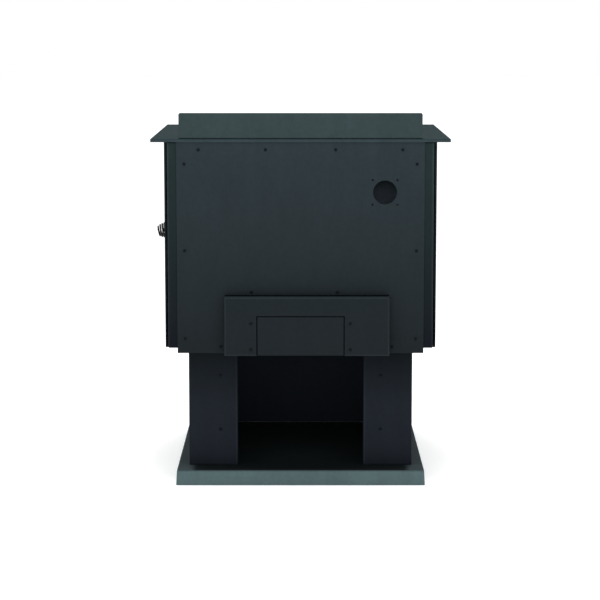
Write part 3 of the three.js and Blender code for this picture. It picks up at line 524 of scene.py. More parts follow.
# Puts a finished mesh in the scene, riding on a body in place of the CAD node of its name, if any.
# Its bends may take the paler paint, a painted highlight along them.
def piece(name, mesh, finish, body="root", bevel=0.0, segments=2, angle=32, worn=False):
    data = bpy.data.meshes.new(name)
    bmesh.ops.remove_doubles(mesh, verts=mesh.verts, dist=1e-6)
    mesh.normal_update()
    for face in mesh.faces:
        face.material_index = int(worn and max(abs(c) for c in face.normal) < 0.995)
    mesh.to_mesh(data)
    mesh.free()
    data.shade_smooth()
    data.materials.append(finishes[finish])
    if worn:
        data.materials.append(finishes[finish + "Worn"])
    thing = bpy.data.objects.new(name, data)
    collection.objects.link(thing)
    if bevel:
        edge = thing.modifiers.new("edge", "BEVEL")
        edge.width, edge.segments = bevel, segments
        edge.limit_method, edge.angle_limit = "ANGLE", math.radians(angle)
        edge.miter_outer = "MITER_ARC"
        even = thing.modifiers.new("even", "WEIGHTED_NORMAL")
        even.keep_sharp = True
    else:
        data.set_sharp_from_angle(angle=math.radians(angle))
    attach(thing, body)
    slots.get(finish, "stove_paint")
    if nodeOf(name) in frame["nodes"]:
        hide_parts(nodeOf(name))
    return thing


def bothSides(name, make, finish, **words):
    for side, word in sides:
        piece(name + word, onSide(make(), side), finish, **words)


def spanOf(node, axis):
    low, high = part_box(node)
    return low[axis], high[axis]


# The CAD node's own shape with its flat faces joined up, for a bevel to soften.
def copied(node):
    mesh = bmesh.new()
    mesh.from_mesh(frame["nodes"][node].data)
    bmesh.ops.remove_doubles(mesh, verts=mesh.verts, dist=1e-6)
    bmesh.ops.dissolve_limit(mesh, angle_limit=math.radians(0.5), verts=mesh.verts, edges=mesh.edges)
    return mesh


def copyPiece(name, bevel, finish="plainSteel", body="root", **words):
    piece(name, copied(nodeOf(name)), finish, body, bevel, **words)


# Screws.
screwSize = dict(head=0.0040, rise=0.0021, recess=0.0011, slotWidth=0.0009, slotReach=0.0021)


# A pan head with a cross recess. Its seat is on the plane y = 0 and it faces +Y.
def screwHead():
    s = screwSize
    dome = lathe([(s["head"] * 0.93, -0.0004), (s["head"], 0.0003), (s["head"] * 0.97, s["rise"] * 0.45),
                  (s["head"] * 0.82, s["rise"] * 0.78), (s["head"] * 0.5, s["rise"] * 0.97),
                  (s["head"] * 0.12, s["rise"])], "wall", (0, 0), 28)
    deep, top = s["rise"] - s["recess"], s["rise"] + 0.001
    bars = [loft([(rectangle(a * 0.7, u * 0.7, 0, steps=1), deep), (rectangle(a, u, 0, steps=1), top)],
                 "wall") for a, u in ((s["slotReach"], s["slotWidth"] / 2),
                                      (s["slotWidth"] / 2, s["slotReach"]))]
    dome = carved(dome, bars[0])
    return carved(dome, bars[1])


screwData = bpy.data.meshes.new("screwHead")
screwMesh = screwHead()
screwMesh.to_mesh(screwData)
screwMesh.free()
random.seed(4)


def screws(name, places, facing, finish="screwPaint", body="root", scale=1.0):
    mesh = bmesh.new()
    turn = Vector((0, 1, 0)).rotation_difference(Vector(facing)).to_matrix().to_4x4()
    for place in places:
        one = bmesh.new()
        one.from_mesh(screwData)
        spin = Matrix.Rotation(random.uniform(0, math.pi / 2), 4, "Y")
        one.transform(Matrix.Translation(Vector(place)) @ turn @ spin @ Matrix.Scale(scale, 4))
        mesh = merged(mesh, one)
    return piece(name, mesh, finish, body, angle=40)


print("helpers ready")

# Base.
basePan = dict(sheet=0.0025, bend=0.0016, corner=0.003, flare=0.002)


def makeBasePan():
    b = basePan
    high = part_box("base_pan")[1]

    def ring(inset, z):
        lean = b["flare"] * z / high.z
        return rectangle(high.x - lean - inset, high.y - lean - inset, b["corner"]), z

    return loft(panRings(ring, b["sheet"], b["bend"], high.z, 0.0, 5), "plan")


piece("basePan", makeBasePan(), "basePaint")
for word in ("Front", "Centre", "Rear"):
    copyPiece("baseChannel" + word, 0.0007)
print("base ready")

# Pedestal.
pedestal = dict(sheet=0.0025, bend=0.0025, frontFlange=0.040, rearReturn=0.100,
                postScrewX=0.2058, postScrewZ=(0.1345, 0.2745), frontScrewInset=0.020,
                frontScrewSpan=0.32, frontScrewShares=(0.12, 0.5, 0.88))


def makePedestalSide():
    p = pedestal
    low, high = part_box("pedestal_side_right")
    wall = slab(foldedOutline([(high.x - p["frontFlange"], low.y), (high.x, low.y), (high.x, high.y),
                               (high.x - p["rearReturn"], high.y)], p["sheet"], p["bend"]),
                "plan", (low.z, high.z))
    inner = (high.x - p["frontFlange"], low.y + p["sheet"]), (high.x - p["sheet"] / 2, high.y - p["sheet"])
    flanges = [boxMesh((*inner[0], z), (*inner[1], z + p["sheet"])) for z in (low.z, high.z - p["sheet"])]
    return fused(wall, *flanges)


def makePost():
    p = pedestal
    low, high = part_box("pedestal_post_right")
    return slab(foldedOutline([(high.x, high.y), (low.x, high.y), (low.x, low.y)], p["sheet"], p["bend"]),
                "plan", (low.z, high.z))


bothSides("pedestalSide", makePedestalSide, "pedestalPaint", bevel=0.0005, worn=True)
bothSides("pedestalPost", makePost, "pedestalPaint", bevel=0.0011, segments=3, worn=True)
copyPiece("pedestalFront", 0.0008, "pedestalPaint", worn=True)
bothSides("supportRail", lambda: copied("support_rail_right"), "plainSteel", bevel=0.0008)
postFace = spanOf("pedestal_post_right", 1)[1]
screws("pedestalPostScrews", [(x * pedestal["postScrewX"], postFace, z) for x in (-1, 1)
                              for z in pedestal["postScrewZ"]], (0, 1, 0))
frontLow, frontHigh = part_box("pedestal_front")
rowX = frontHigh.x - pedestal["frontScrewInset"]
screws("pedestalFrontScrews",
       [(x * rowX, frontLow.y, frontLow.z + share * pedestal["frontScrewSpan"])
        for x in (-1, 1) for share in pedestal["frontScrewShares"]], (0, -1, 0))
print("pedestal ready")

# Firebox.
fireboxFront = dict(openingSide=0.205, openingHalf=0.135, openingCorner=0.014, notchSide=0.236,
                    notchBelow=0.018, notchAbove=0.046, notchCorner=0.004, notchLap=0.02,
                    controlHole=0.0065)
doorLow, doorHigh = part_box("door_frame")
(doorZ,), (controlZ,) = middleOf("door_frame", 2), middleOf("air_slide", 2)


def makeFrontPlate():
    f = fireboxFront
    low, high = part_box("front_plate")
    through = past(low.y, high.y)
    plate = plateOf("front_plate", "wall", 0.0015, 2)
    start, foot, top = f["openingSide"] - f["notchLap"], doorZ - f["notchBelow"], doorZ + f["notchAbove"]
    opening = fused(
        slab(rectangle(f["openingSide"], f["openingHalf"], f["openingCorner"], (0, doorZ)), "wall", through),
        slab(roundedOutline([(start, foot, 0), (f["notchSide"], foot, f["notchCorner"]),
                             (f["notchSide"], top, f["notchCorner"]), (start, top, 0)], 4), "wall",
             past(*through)))
    plate = carved(plate, opening)
    return carved(plate, slab(circle(f["controlHole"], (0, controlZ)), "wall", through))


piece("frontPlate", makeFrontPlate(), "stovePaint", bevel=0.0008)
copyPiece("fireboxFloor", 0.0008)
copyPiece("fireboxShell", 0.0008, "shellSteel")
print("firebox ready")

# Cooking plate, flue collar and upstand.
flue = dict(bore=0.076, wall=0.003, flangeThickness=0.005, rim=0.0012, seatGap=0.0003,
            pipeHole=0.0018, pipeHoleDrop=0.010, play=0.001)
upstand = dict(sheet=0.002, bend=0.002, corner=0.005, foot=0.022, screwX=(-0.25, -0.085, 0.085, 0.25))


def makeTopPlate():
    low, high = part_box("top_plate")
    hole = slab(circle(flue["bore"] + flue["wall"] + flue["play"], (0, *middleOf("flue_collar", 1)), 72),
                "plan", past(low.z, high.z))
    return carved(plateOf("top_plate", "plan", 0.002, 3), hole)


def makeFlueCollar():
    f = flue
    low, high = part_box("flue_collar")
    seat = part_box("top_plate")[1].z + f["seatGap"]
    middle = (0, *middleOf("flue_collar", 1))
    inner, outer, edge = f["bore"], f["bore"] + f["wall"], high.x
    profile = [(inner, low.z), (outer, low.z), (outer, seat), (edge - 0.0006, seat), (edge, seat + 0.0006),
               (edge, seat + f["flangeThickness"] - 0.001), (edge - 0.001, seat + f["flangeThickness"]),
               (outer, seat + f["flangeThickness"]), (outer, high.z - f["rim"]),
               (outer - f["rim"] * 0.4, high.z - f["rim"] * 0.2), (outer - f["wall"] / 2, high.z),
               (inner + f["rim"] * 0.4, high.z - f["rim"] * 0.2), (inner, high.z - f["rim"])]
    ring = lathe(profile, "plan", middle, 72, True)
    pipeHoles = []
    for k in range(3):
        hole = slab(circle(f["pipeHole"], (0, high.z - f["pipeHoleDrop"]), 16), "side", past(inner, outer))
        hole.transform(Matrix.Translation((0, middle[1], 0))
                       @ Matrix.Rotation(math.radians(90 + 120 * k), 4, "Z"))
        pipeHoles.append(hole)
    return carved(ring, *pipeHoles), middle[1], seat + f["flangeThickness"], outer, edge


def makeUpstand():
    u = upstand
    low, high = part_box("rear_upstand")
    angle = slab(foldedOutline([(low.y, low.z), (high.y, low.z), (high.y, high.z)], u["sheet"], u["bend"]),
                 "side", (low.x, high.x))
    shape = slab(roundedOutline([(low.x, low.z - 0.002, 0), (high.x, low.z - 0.002, 0),
                                 (high.x, high.z, u["corner"]), (low.x, high.z, u["corner"])], 8),
                 "wall", past(low.y, high.y))
    return combined(angle, shape, "INTERSECT")


piece("topPlate", makeTopPlate(), "topPaint", bevel=0.0010, segments=3)
collar, flueY, flangeTop, collarSide, flangeEdge = makeFlueCollar()
piece("flueCollar", collar, "topPaint", angle=38)
bead = [(math.cos(a) * collarSide, flueY + math.sin(a) * collarSide, flangeTop)
        for a in [2 * math.pi * k / 72 for k in range(73)]]
piece("flueCollarWeld", weld(bead, 0.0026), "topPaint", angle=60)
screws("flueFlangeScrews", [(math.cos(math.radians(a)) * (collarSide + flangeEdge) / 2,
                             flueY + math.sin(math.radians(a)) * (collarSide + flangeEdge) / 2, flangeTop)
                            for a in (30, 150, 270)], (0, 0, 1), scale=1.2)
piece("rearUpstand", makeUpstand(), "upstandPaint", bevel=0.0005)
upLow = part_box("rear_upstand")[0]
screws("upstandScrews", [(x, upLow.y + upstand["foot"] * 0.42, upLow.z + upstand["sheet"])
                         for x in upstand["screwX"]], (0, 0, 1))
print("top ready")

# Heat shields.
rearShield = dict(port=0.030, portX=-0.212, portZ=0.751, portSquare=0.031, portHole=0.0025,
                  sealGap=0.0001, windowMargin=0.015, topScrewX=(0.0878, 0.256), topScrewZ=0.858,
                  sideScrewX=0.2919, sideScrewZ=(0.379, 0.6035, 0.822),
                  boxScrews=((0.124, 0.4985), (-0.0934, 0.4985), (0.2025, 0.3585), (-0.2325, 0.3585)))
sideShield = dict(sheet=0.002, bend=0.003, frontFlange=0.0385, rearFlange=0.0505)
sidePanel = dict(boss=0.008, inset=0.070, thickness=0.0048, edge=0.0008)
panelSpacer = dict(gap=0.0002, front=0.004, rear=0.003, low=0.0055, high=0.018)
boxLow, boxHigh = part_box("air_box")
panelLow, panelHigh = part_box("side_panel_right")
panelFixings = [(y, z) for y in (panelLow.y + sidePanel["inset"], panelHigh.y - sidePanel["inset"])
                for z in (panelLow.z + sidePanel["inset"], panelHigh.z - sidePanel["inset"])]


def makeRearShield():
    r = rearShield
    low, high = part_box("rear_shield")
    through = past(low.y, high.y)
    sheet = plateOf("rear_shield", "wall", 0.001, 2)
    m = r["windowMargin"]
    window = slab([(boxLow.x + m, boxLow.z + m), (boxHigh.x - m, boxLow.z + m),
                   (boxHigh.x - m, boxHigh.z - m), (boxLow.x + m, boxHigh.z - m)], "wall", through)
    port = slab(circle(r["port"], (r["portX"], r["portZ"]), 64), "wall", through)
    small = holes([(r["portX"] + i * r["portSquare"], r["portZ"] + j * r["portSquare"])
                   for i in (-1, 1) for j in (-1, 1)], r["portHole"], "wall", through, 20)
    return carved(sheet, window, port, small)


def makeSideShield():
    s = sideShield
    low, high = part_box("side_shield_right")
    return slab(foldedOutline([(high.x - s["frontFlange"], low.y), (high.x, low.y), (high.x, high.y),
                               (high.x - s["rearFlange"], high.y)], s["sheet"], s["bend"]), "plan",
                (low.z, high.z))


def makeSidePanel():
    s = sidePanel
    low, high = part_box("side_panel_right")
    plate = plateOf("side_panel_right", "side", 0.0015, 2, (high.x - s["thickness"], high.x))
    bosses = [slab(circle(s["boss"], place), "side", (low.x, high.x - s["thickness"] / 2))
              for place in panelFixings]
    sill = boxMesh(low, (high.x - s["thickness"] / 2, high.y, low.z + s["thickness"]))
    return fused(plate, sill, *bosses)


piece("rearShield", makeRearShield(), "stovePaint", bevel=0.0007)
copyPiece("shieldTopRail", 0.0004)
bothSides("sideShield", makeSideShield, "panelPaint", bevel=0.0005, worn=True)
bothSides("sidePanel", makeSidePanel, "panelPaint", bevel=sidePanel["edge"])
copyPiece("bottomShield", 0.0005)
shieldFace = spanOf("rear_shield", 1)[1]
screws("rearShieldScrews",
       [(i * x, shieldFace, rearShield["topScrewZ"]) for i in (-1, 1) for x in rearShield["topScrewX"]]
       + [(i * rearShield["sideScrewX"], shieldFace, z) for i in (-1, 1) for z in rearShield["sideScrewZ"]]
       + [(x, shieldFace, z) for x, z in rearShield["boxScrews"]], (0, 1, 0))
shieldLow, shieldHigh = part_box("rear_shield")
gap = rearShield["sealGap"]
piece("shieldTopSeal", boxMesh((shieldLow.x, shieldLow.y, shieldHigh.z + gap),
                               (shieldHigh.x, shieldHigh.y - gap, spanOf("top_plate", 2)[0] - gap)),
      "stovePaint")
for side, word in sides:
    screws("sidePanelScrews" + word, [(side * panelHigh.x, y, z) for y, z in panelFixings], (side, 0, 0),
           scale=1.5)
    # A near-black strip in the gap between the side shield and the side panel stands in for the shade in that
    # gap.
    p = panelSpacer
    strip = boxMesh((spanOf("side_shield_right", 0)[1] + p["gap"], panelLow.y + p["front"],
                     panelLow.z + p["low"]),
                    (panelHigh.x - sidePanel["thickness"] - p["gap"], panelHigh.y - p["rear"],
                     panelLow.z + p["high"]))
    piece("panelSpacer" + word, onSide(strip, side), "gapShadeBlack", bevel=0.0004)
print("heat shields ready")

# Air box and the way behind it.
airBox = dict(sheet=0.002, bend=0.0022, corner=0.0015, notchSide=0.111, notchHeight=0.102,
              screwX=0.1253, screwZ=(0.3556, 0.422), edge=0.0004, gap=0.0024)


def makeAirBox():
    a = airBox
    centre = middleOf("air_box", 0, 2)
    halfAcross, halfUp = (boxHigh.x - boxLow.x) / 2, (boxHigh.z - boxLow.z) / 2

    def ring(inset, y):
        return rectangle(halfAcross - inset, halfUp - inset, a["corner"], centre), y

    shell = loft(panRings(ring, a["sheet"], a["bend"], boxHigh.y, boxLow.y, 6), "wall")
    notch = boxMesh((-a["notchSide"], boxHigh.y - a["sheet"] - 0.005, boxLow.z - 0.005),
                    (a["notchSide"], boxHigh.y + 0.005, boxLow.z + a["notchHeight"]))
    return carved(shell, notch)


piece("airBox", makeAirBox(), "boxPaint", bevel=airBox["edge"], angle=50, worn=True)
copyPiece("airBoxCover", 0.0007, "boxPaint", segments=3)
# Near-black strips behind the gap round the cover, and a near-black bead where the air box's top meets the
# shield, stand in for the shade in those gaps.
gapShades = dict(gap=0.0001, back=0.0019, face=0.0009, end=0.0025, bead=0.0013, beadOut=0.0011,
             beadUp=0.0008, beadEnd=0.001)
gap, end = gapShades["gap"], gapShades["end"]
coverSide, coverTop = airBox["notchSide"], boxLow.z + airBox["notchHeight"]
gapStripWidth = airBox["gap"] - gap * 2
coverGapStrips = merged(*[boxMesh((a, boxHigh.y - gapShades["back"], c), (b, boxHigh.y - gapShades["face"], coverTop - gap))
                for a, b, c in ((-coverSide + gap, -coverSide + gapStripWidth, boxLow.z + end),
                                (coverSide - gapStripWidth, coverSide - gap, boxLow.z + end),
                                (-coverSide + end, coverSide - end, coverTop - gapStripWidth))])
piece("coverSeal", coverGapStrips, "gapShadeBlack")
beadPlace = (shieldFace + gapShades["beadOut"], boxHigh.z + gapShades["beadUp"])
piece("boxSeal", tube([(x, *beadPlace) for x in (boxLow.x + gapShades["beadEnd"], boxHigh.x - gapShades["beadEnd"])],
                      gapShades["bead"], 10), "gapShadeBlack")
screws("airBoxScrews", [(i * airBox["screwX"], boxHigh.y, z) for i in (-1, 1) for z in airBox["screwZ"]],
       (0, 1, 0))
for name in ("airInletPipe", "airRiser", "primaryAirDuct"):
    copyPiece(name, 0.0004)
print("air box ready")

# Firebricks and baffle.
brick = dict(width=0.114, length=0.228, joint=0.0022, edge=0.0022, roughness=0.0005, cuts=7)


# A box with rounded edges and a face that sinks unevenly.
def lumpyBox(low, high, edge, profile, cuts, sink):
    mesh = boxMesh(low, high)
    bmesh.ops.bevel(mesh, geom=mesh.edges[:], offset=edge, segments=2, profile=profile, affect="EDGES")
    long = [e for e in mesh.edges if e.calc_length() > 0.02]
    bmesh.ops.subdivide_edges(mesh, edges=long, cuts=cuts, use_grid_fill=True)
    mesh.normal_update()
    for v in mesh.verts:
        v.co -= v.normal * brick["roughness"] * sink(v.co)
    return mesh


def makeBrick(low, high):
    half = brick["joint"] / 2
    return lumpyBox([c + half for c in low], [c - half for c in high], brick["edge"], 0.6, brick["cuts"],
                    lambda at: 0.5 + noise.noise(at * 90) * 0.5 + noise.noise(at * 260) * 0.5)


def brickBed(name, axis, places, up=False):
    low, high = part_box(nodeOf(name))
    bricks = []
    ends = [low[axis], *[p for p in places if low[axis] < p < high[axis]], high[axis]]
    rows = [low.y, low.y + brick["length"], high.y] if up else [None, None]
    for a, b in zip(ends, ends[1:]):
        for c, d in zip(rows, rows[1:]):
            corner, far = list(low), list(high)
            corner[axis], far[axis] = a, b
            if up:
                corner[1], far[1] = c, d
            bricks.append(makeBrick(corner, far))
    piece(name, merged(*bricks), "fireclay", angle=50)


widths = [brick["width"] * (k + 0.5) for k in range(-3, 3)]
brickBed("firebrickFloor", 0, widths, True)
brickBed("firebrickRear", 0, widths)
for name in ("firebrickLeft", "firebrickRight"):
    brickBed(name, 1, [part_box(nodeOf(name))[0].y + brick["width"] * k for k in (1, 2, 3)])


baffle = dict(edge=0.0018, cuts=14)
for name in ("baffleBoardLeft", "baffleBoardRight"):
    piece(name, lumpyBox(*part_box(nodeOf(name)), baffle["edge"], 0.5, baffle["cuts"],
                         lambda at: 0.6 + noise.noise(at * 120)), "baffleFibre", angle=50)
print("lining ready")

# Secondary air.
airTube = dict(radius=0.010, wall=0.0015, hole=0.0022, pitch=0.024, rows=(200, 250), ends=0.03, margin=0.045)


def makeTube():
    t = airTube
    low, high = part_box("secondary_tube_1")
    middle = middleOf("secondary_tube_1", 1, 2)
    inner = t["radius"] - t["wall"]
    pipe = lathe([(t["radius"], low.x), (t["radius"], high.x), (inner, high.x), (inner, low.x)], "side",
                 middle, 32, True)
    drills = []
    count = int((high.x - t["margin"] - t["ends"]) * 2 / t["pitch"])
    for row in t["rows"]:
        for k in range(count):
            x = (k - (count - 1) / 2) * t["pitch"]
            drill = slab(circle(t["hole"], (0, 0), 12), "plan", (t["radius"] * 0.4, t["radius"] * 1.5))
            drill.transform(Matrix.Translation((x, *middle))
                            @ Matrix.Rotation(math.radians(90 - row), 4, "X"))
            drills.append(drill)
    return carved(pipe, *drills)


firstTube = makeTube()
for k in (1, 2, 3):
    copy = firstTube.copy()
    bmesh.ops.translate(copy, verts=copy.verts, vec=(0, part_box(f"secondary_tube_{k}")[0].y
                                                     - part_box("secondary_tube_1")[0].y, 0))
    piece(f"secondaryTube{k}", copy, "plainSteel", angle=40)
firstTube.free()
bothSides("airChannel", lambda: copied("air_channel_right"), "plainSteel", bevel=0.0006)
for name in ("airWashChannel", "logRetainer"):
    copyPiece(name, 0.0008)
print("secondary air ready")

# Ash lip.
ashLip = dict(thickness=0.004, bend=0.004, corner=0.012, weld=0.0024, weldInset=0.01)


def makeAshLip():
    a = ashLip
    low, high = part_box("ash_lip")
    angle = slab(foldedOutline([(high.y, high.z), (low.y, high.z), (low.y, low.z)], a["thickness"],
                               a["bend"], 8), "side", (low.x, high.x))
    plan = slab(roundedOutline([(low.x, high.y + overrun, 0), (low.x, low.y, a["corner"]),
                                (high.x, low.y, a["corner"]), (high.x, high.y + overrun, 0)], 8), "plan",
                past(low.z, high.z))
    return combined(angle, plan, "INTERSECT")


piece("ashLip", makeAshLip(), "stovePaint", bevel=0.0008)
lipLow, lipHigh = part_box("ash_lip")
piece("ashLipWeld", weld([(x, lipHigh.y - 0.0008, lipHigh.z - ashLip["thickness"]) for x in
                          (lipLow.x + ashLip["weldInset"], lipHigh.x - ashLip["weldInset"])],
                         ashLip["weld"]), "stovePaint", angle=60)

# Door.
door = dict(corner=0.014, roll=0.004, border=0.020, slope=0.003, relief=0.0018, bead=0.011, window=0.180,
            windowHalf=0.108, windowCorner=0.010, bevel=0.006, glassSide=0.1935, glassHalf=0.1215,
            rebate=0.0084, rope=0.246, ropeHalf=0.156, ropeWidth=0.005, ropeDepth=0.005, spindle=0.0063)
spindleX = frame["record"]["behaviour"]["joints"][1]["pos_m"][0]


def makeDoorFrame():
    d = door
    halfX, halfZ, front, back = doorHigh.x, (doorHigh.z - doorLow.z) / 2, doorLow.y, doorHigh.y

    def ring(across, up, corner, y):
        return rectangle(across, up, corner, (0, doorZ), 8), y

    def inset(amount, y):
        return ring(halfX - amount, halfZ - amount, max(d["corner"] - amount * 0.6, 0.004), y)

    rings = [inset(0, back)]
    for k in range(6):
        a = math.radians(90 * k / 5)
        rings.append(inset(d["roll"] * (1 - math.cos(a)), front + d["roll"] * (1 - math.sin(a))))
    rings += [inset(d["border"], front), inset(d["border"] + d["slope"], front + d["relief"])]
    rim = d["bevel"] + d["bead"]
    for grow, y in ((rim + d["slope"], front + d["relief"]), (rim, front), (d["bevel"], front),
                    (0, front + d["bevel"])):
        rings.append(ring(d["window"] + grow, d["windowHalf"] + grow, d["windowCorner"] + grow * 0.5, y))
    seat = back - d["rebate"]
    rings += [ring(d["window"], d["windowHalf"], d["windowCorner"], seat),
              ring(d["glassSide"], d["glassHalf"], d["windowCorner"], seat),
              ring(d["glassSide"], d["glassHalf"], d["windowCorner"], back)]
    for out, y in ((-1, back), (-1, back - d["ropeDepth"]), (1, back - d["ropeDepth"]), (1, back)):
        rings.append(ring(d["rope"] + out * d["ropeWidth"], d["ropeHalf"] + out * d["ropeWidth"],
                          d["corner"] - (0.005 if out < 0 else 0), y))
    frameMesh = loft(rings, "wall", True)
    return carved(frameMesh, slab(circle(d["spindle"], (spindleX, doorZ), 32), "wall", past(front, back)))


piece("doorFrame", makeDoorFrame(), "stovePaint", "door", bevel=0.0006, angle=40)
bossProfile = ((0.0065, 0.0017), (0.0125, 0.0017), (0.0125, 0.0003), (0.0112, -0.0012), (0.0065, -0.0012))
piece("handleBoss", lathe([(r, doorLow.y + y) for r, y in bossProfile], "wall", (spindleX, doorZ), 48, True),
      "stovePaint", "door", angle=40)


def loopPath(halfAcross, halfUp, corner, y, pitch):
    dense = rectangle(halfAcross, halfUp, corner, (0, doorZ), 10)
    points = []
    for a, b in zip(dense, dense[1:] + dense[:1]):
        steps = max(1, round((b - a).length / pitch))
        points += [a.lerp(b, k / steps) for k in range(steps)]
    return [(x, y, z) for x, z in points]


rope = dict(strands=5, lay=0.011, depth=0.10, radius=0.0047, corner=0.012, pitch=0.0011)


def makeRope():
    low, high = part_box("door_gasket")
    half, (y,) = (high.y - low.y) / 2, middleOf("door_gasket", 1)
    path = loopPath(door["rope"], door["ropeHalf"], rope["corner"], y, rope["pitch"])
    lays = round(len(path) * rope["pitch"] / rope["lay"])

    def braid(share, angle, i):
        turn = 2 * math.pi * lays * share
        first = abs(math.sin((rope["strands"] * angle + turn) / 2))
        second = abs(math.sin((rope["strands"] * angle - turn) / 2))
        return 1 - rope["depth"] + rope["depth"] * max(first, second) ** 0.6

    return tube(path, rope["radius"], 24, True, braid, (half / rope["radius"], 1.0))


piece("doorGasket", makeRope(), "ropeFibre", "door", angle=70)
retainer = dict(screwX=(-0.13, 0, 0.13), screwShift=0.005)
piece("doorGlass", plateOf("door_glass", "wall", 0.01, 8), "ceramicGlass", "door", bevel=0.0008)
copyPiece("glassGasket", 0.0007, "ropeFibre", "door")
for word in ("Upper", "Lower"):
    node = "glass_retainer_" + word.lower()
    low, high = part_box(node)
    piece("glassRetainer" + word, plateOf(node, "wall", 0.004), "bareSteel", "door", bevel=0.0004)
    row = (low.z + high.z) / 2 + (1 if word == "Upper" else -1) * retainer["screwShift"]
    screws("glassRetainerScrews" + word, [(x, high.y, row) for x in retainer["screwX"]], (0, 1, 0),
           "bareSteel", "door")
print("door ready")

# Hinges.
hinge = dict(x=-0.275, y=-0.301, radius=0.010, pin=0.0045, hole=0.0048, head=0.0075, headRise=0.004,
             flange=0.003, knuckle=0.0219, ease=0.0001)


def upright(radius, span, sides=40):
    return slab(circle(radius, (hinge["x"], hinge["y"]), sides), "plan", span)


for word in ("Upper", "Lower"):
    h = hinge
    low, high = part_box("hinge_bracket_" + word.lower())
    foot = spanOf("hinge_lug_" + word.lower(), 2)[0] - h["knuckle"]
    bracket = fused(upright(h["radius"], (foot, high.z)),
                    boxMesh((h["x"] - h["radius"] * 0.98, h["y"], foot + h["ease"]),
                            (h["x"] + h["radius"] * 0.98, high.y - h["ease"], high.z - h["ease"])),
                    boxMesh((low.x, high.y - h["flange"], low.z), (high.x, high.y, high.z)))
    piece("hingeBracket" + word, carved(bracket, upright(h["hole"], past(low.z, high.z))),
          "stovePaint", bevel=0.0006)
    low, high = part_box("hinge_lug_" + word.lower())
    lug = fused(upright(h["radius"], (low.z, high.z)),
                boxMesh((h["x"], low.y + 0.0002, low.z + 0.0002), (high.x, high.y - 0.0002, high.z - 0.0002)))
    piece("hingeLug" + word, carved(lug, upright(h["hole"], past(low.z, high.z))),
          "stovePaint", "door", bevel=0.0006)
    low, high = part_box("hinge_pin_" + word.lower())
    neck = high.z - h["headRise"]
    profile = [(h["pin"] * 0.8, low.z), (h["pin"], low.z + 0.0009), (h["pin"], neck),
               (h["head"] - 0.0004, neck),
               (h["head"], neck + 0.0005), (h["head"], neck + 0.0018), (h["head"] * 0.86, neck + 0.0031),
               (h["head"] * 0.5, neck + 0.0038), (h["head"] * 0.1, high.z)]
    piece("hingePin" + word, lathe(profile, "plan", (h["x"], h["y"]), 40), "bareSteel", angle=40)
print("hinges ready")

# Latch and handle.
handle = dict(rod=0.006, bend=0.016, drop=6.0, reach=0.178, coilStart=0.078, coilEnd=0.190, turns=18,
              wire=0.0025, widest=0.0215, skew=1.7, taper=0.5, tail=0.026, touch=0.0006)
frontFace = spanOf("front_plate", 1)[0]
handleY = frame["record"]["behaviour"]["joints"][1]["pos_m"][1]
elbow = Vector((spindleX, handleY, doorZ))
drop = math.radians(handle["drop"])
outward = Vector((math.cos(drop), 0, -math.sin(drop)))


def makeRod():
    h = handle
    before, after = elbow + Vector((0, h["bend"], 0)), elbow + outward * h["bend"]
    points = [Vector((spindleX, frontFace + h["tail"], doorZ)), before]
    for k in range(1, 13):
        t = k / 12
        points.append(before * (1 - t) ** 2 + elbow * 2 * t * (1 - t) + after * t * t)
    points.append(elbow + outward * h["reach"])
    return tube(points, h["rod"], 24)


def coilPoints(start, end, turns, sideways, radiusAt, steps=36):
    start, end = Vector(start), Vector(end)
    axis = (end - start).normalized()
    upward = axis.cross(Vector(sideways))
    points = []
    for k in range(int(turns * steps) + 1):
        share = k / (turns * steps)
        angle = 2 * math.pi * turns * share
        points.append(start.lerp(end, share) + (Vector(sideways) * math.cos(angle)
                                                + upward * math.sin(angle)) * radiusAt(share))
    return points


def makeCoil():
    h = handle
    grip = h["rod"] + h["wire"] + h["touch"]

    def radiusAt(share):
        return grip + (h["widest"] - grip) * max(0.0, math.sin(math.pi * share ** h["skew"])) ** h["taper"]

    return tube(coilPoints(elbow + outward * h["coilStart"], elbow + outward * h["coilEnd"], h["turns"],
                           (0, -1, 0), radiusAt), h["wire"], 10)


cam = dict(width=0.008, reach=0.036, corner=0.003, hub=0.012, hole=0.0063, nut=0.0105, nutSeat=0.0002,
           nutRise=0.006, nutBore=0.00605)


def makeCam():
    c = cam
    low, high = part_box("latch_cam")
    arm = slab(roundedOutline([(spindleX - c["width"], doorZ, 0), (spindleX + c["width"], doorZ, 0),
                               (spindleX + c["width"], doorZ + c["reach"], c["corner"]),
                               (spindleX - c["width"], doorZ + c["reach"], c["corner"])], 6), "wall",
               (low.y + 0.0001, high.y - 0.0001))
    body = fused(slab(circle(c["hub"], (spindleX, doorZ), 48), "wall", (low.y, high.y)), arm)
    return carved(body, slab(circle(c["hole"], (spindleX, doorZ), 32), "wall", past(low.y, high.y)))


piece("handleRod", makeRod(), "blackWire", "latch", angle=60)
piece("handleCoil", makeCoil(), "blackWire", "latch", angle=60)
piece("latchCam", makeCam(), "plainSteel", "latch", bevel=0.0006)
camHigh = spanOf("latch_cam", 1)[1]
nutLow = camHigh + cam["nutSeat"]
nutSpan = (nutLow, nutLow + cam["nutRise"])
nut = carved(slab(circle(cam["nut"], (spindleX, doorZ), 6), "wall", nutSpan),
             slab(circle(cam["nutBore"], (spindleX, doorZ), 24), "wall", past(*nutSpan)))
piece("latchNut", nut, "bareSteel", "latch", bevel=0.0007)
print("latch ready")

# Air control.
control = dict(rod=0.0045, wire=0.0015, turns=7, widest=0.010, length=0.040, damper=0.003,
               damperLength=0.110, lap=0.006, tip=0.003, touch=0.0003)


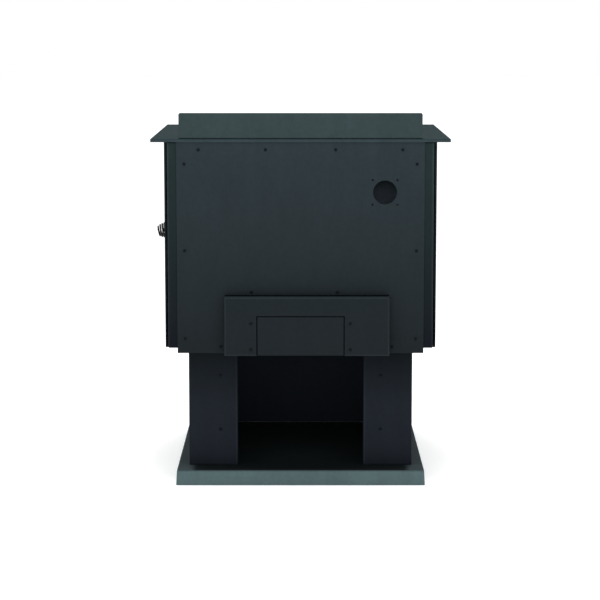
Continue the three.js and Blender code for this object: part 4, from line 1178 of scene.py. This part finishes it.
def makeSlide():
    low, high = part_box("air_slide")
    z, plateY = controlZ, high.y - control["damperLength"]
    rod = tube([(0, low.y, z), (0, plateY + control["lap"], z)], control["rod"], 24)
    plate = boxMesh((low.x, plateY, z - control["damper"] / 2), (high.x, high.y, z + control["damper"] / 2))
    return fused(plate, rod)


def makeKnob():
    c = control
    end = spanOf("air_slide", 1)[0] - c["tip"]
    grip = c["rod"] + c["wire"] + c["touch"]
    return tube(coilPoints((0, end + c["length"], controlZ), (0, end, controlZ), c["turns"], (1, 0, 0),
                           lambda share: grip + (c["widest"] - grip) * math.sin(math.pi * share), 30),
                c["wire"], 10)


piece("airSlide", makeSlide(), "plainSteel", "air_control", bevel=0.0003)
piece("airKnob", makeKnob(), "blackWire", "air_control", angle=60)
print("air control ready")

# Floor, light and camera.
studio = dict(sky=1.0, glow=0.25, floor=(0.955, 0.965), key=60.0, keySize=1.6, keyPlace=(0.0, 0.3, 3.1),
              fill=2.6, fillSize=1.5, fillPlace=(2.6, 2.4, 1.6), under=0.42, underSize=0.25,
              underPlace=(0, 0.19, 0.32), underTarget=(0, -0.26, 0.16))
view = dict(place=(0.0013, 5.008, 1.20), tilt=7.27, lens=112.9, shift=-0.08)


def makeFloor():
    mesh = bmesh.new()
    bmesh.ops.create_grid(mesh, x_segments=1, y_segments=1, size=30)
    bmesh.ops.translate(mesh, verts=mesh.verts, vec=(0, 0, -0.0005))
    ground = bare(mesh, "studioFloor")
    material, tree, shader = nodeTree("studioFloor")
    give(tree, shader, {
        "Base Color": ramp(tree, noiseAt(tree, 3.0, 3.0), [(0.3, studio["floor"][0]),
                                                           (0.7, studio["floor"][1])]),
        "Roughness": 0.9, "Specular IOR Level": 0.1, "Emission Color": (1, 1, 1, 1),
        "Emission Strength": studio["glow"]})
    ground.data.materials.append(material)
    ground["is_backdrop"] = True


def areaLight(name, place, size, power, target=(0, 0, 0.5)):
    lamp = bpy.data.lights.new(name, "AREA")
    lamp.shape, lamp.size, lamp.energy = "DISK", size, power
    thing = bpy.data.objects.new(name, lamp)
    thing.location = place
    thing.rotation_mode = "QUATERNION"
    thing.rotation_quaternion = (Vector(target) - Vector(place)).to_track_quat("-Z", "Y")
    thing.visible_camera = False
    collection.objects.link(thing)


makeFloor()
world = bpy.data.worlds.new("studio")
bpy.context.scene.world = world
world.use_nodes = True
sky = world.node_tree.nodes["Background"]
sky.inputs["Color"].default_value = (1, 1, 1, 1)
sky.inputs["Strength"].default_value = studio["sky"]
areaLight("keyLight", studio["keyPlace"], studio["keySize"], studio["key"])
for side, word in sides:
    areaLight("fillLight" + word, Vector(studio["fillPlace"]) * Vector((side, 1, 1)), studio["fillSize"],
              studio["fill"])
areaLight("underLight", studio["underPlace"], studio["underSize"], studio["under"], studio["underTarget"])
bpy.context.scene.view_settings.view_transform = "Standard"

lens = bpy.data.cameras.new("camera")
lens.lens, lens.shift_y, lens.clip_end = view["lens"], view["shift"], 60
camera = bpy.data.objects.new("camera", lens)
camera.location = view["place"]
camera.rotation_euler = (math.radians(90 - view["tilt"]), 0, math.radians(180))
collection.objects.link(camera)
bpy.context.scene.camera = camera
print("studio ready")

bpy.context.view_layer.update()
low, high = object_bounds()
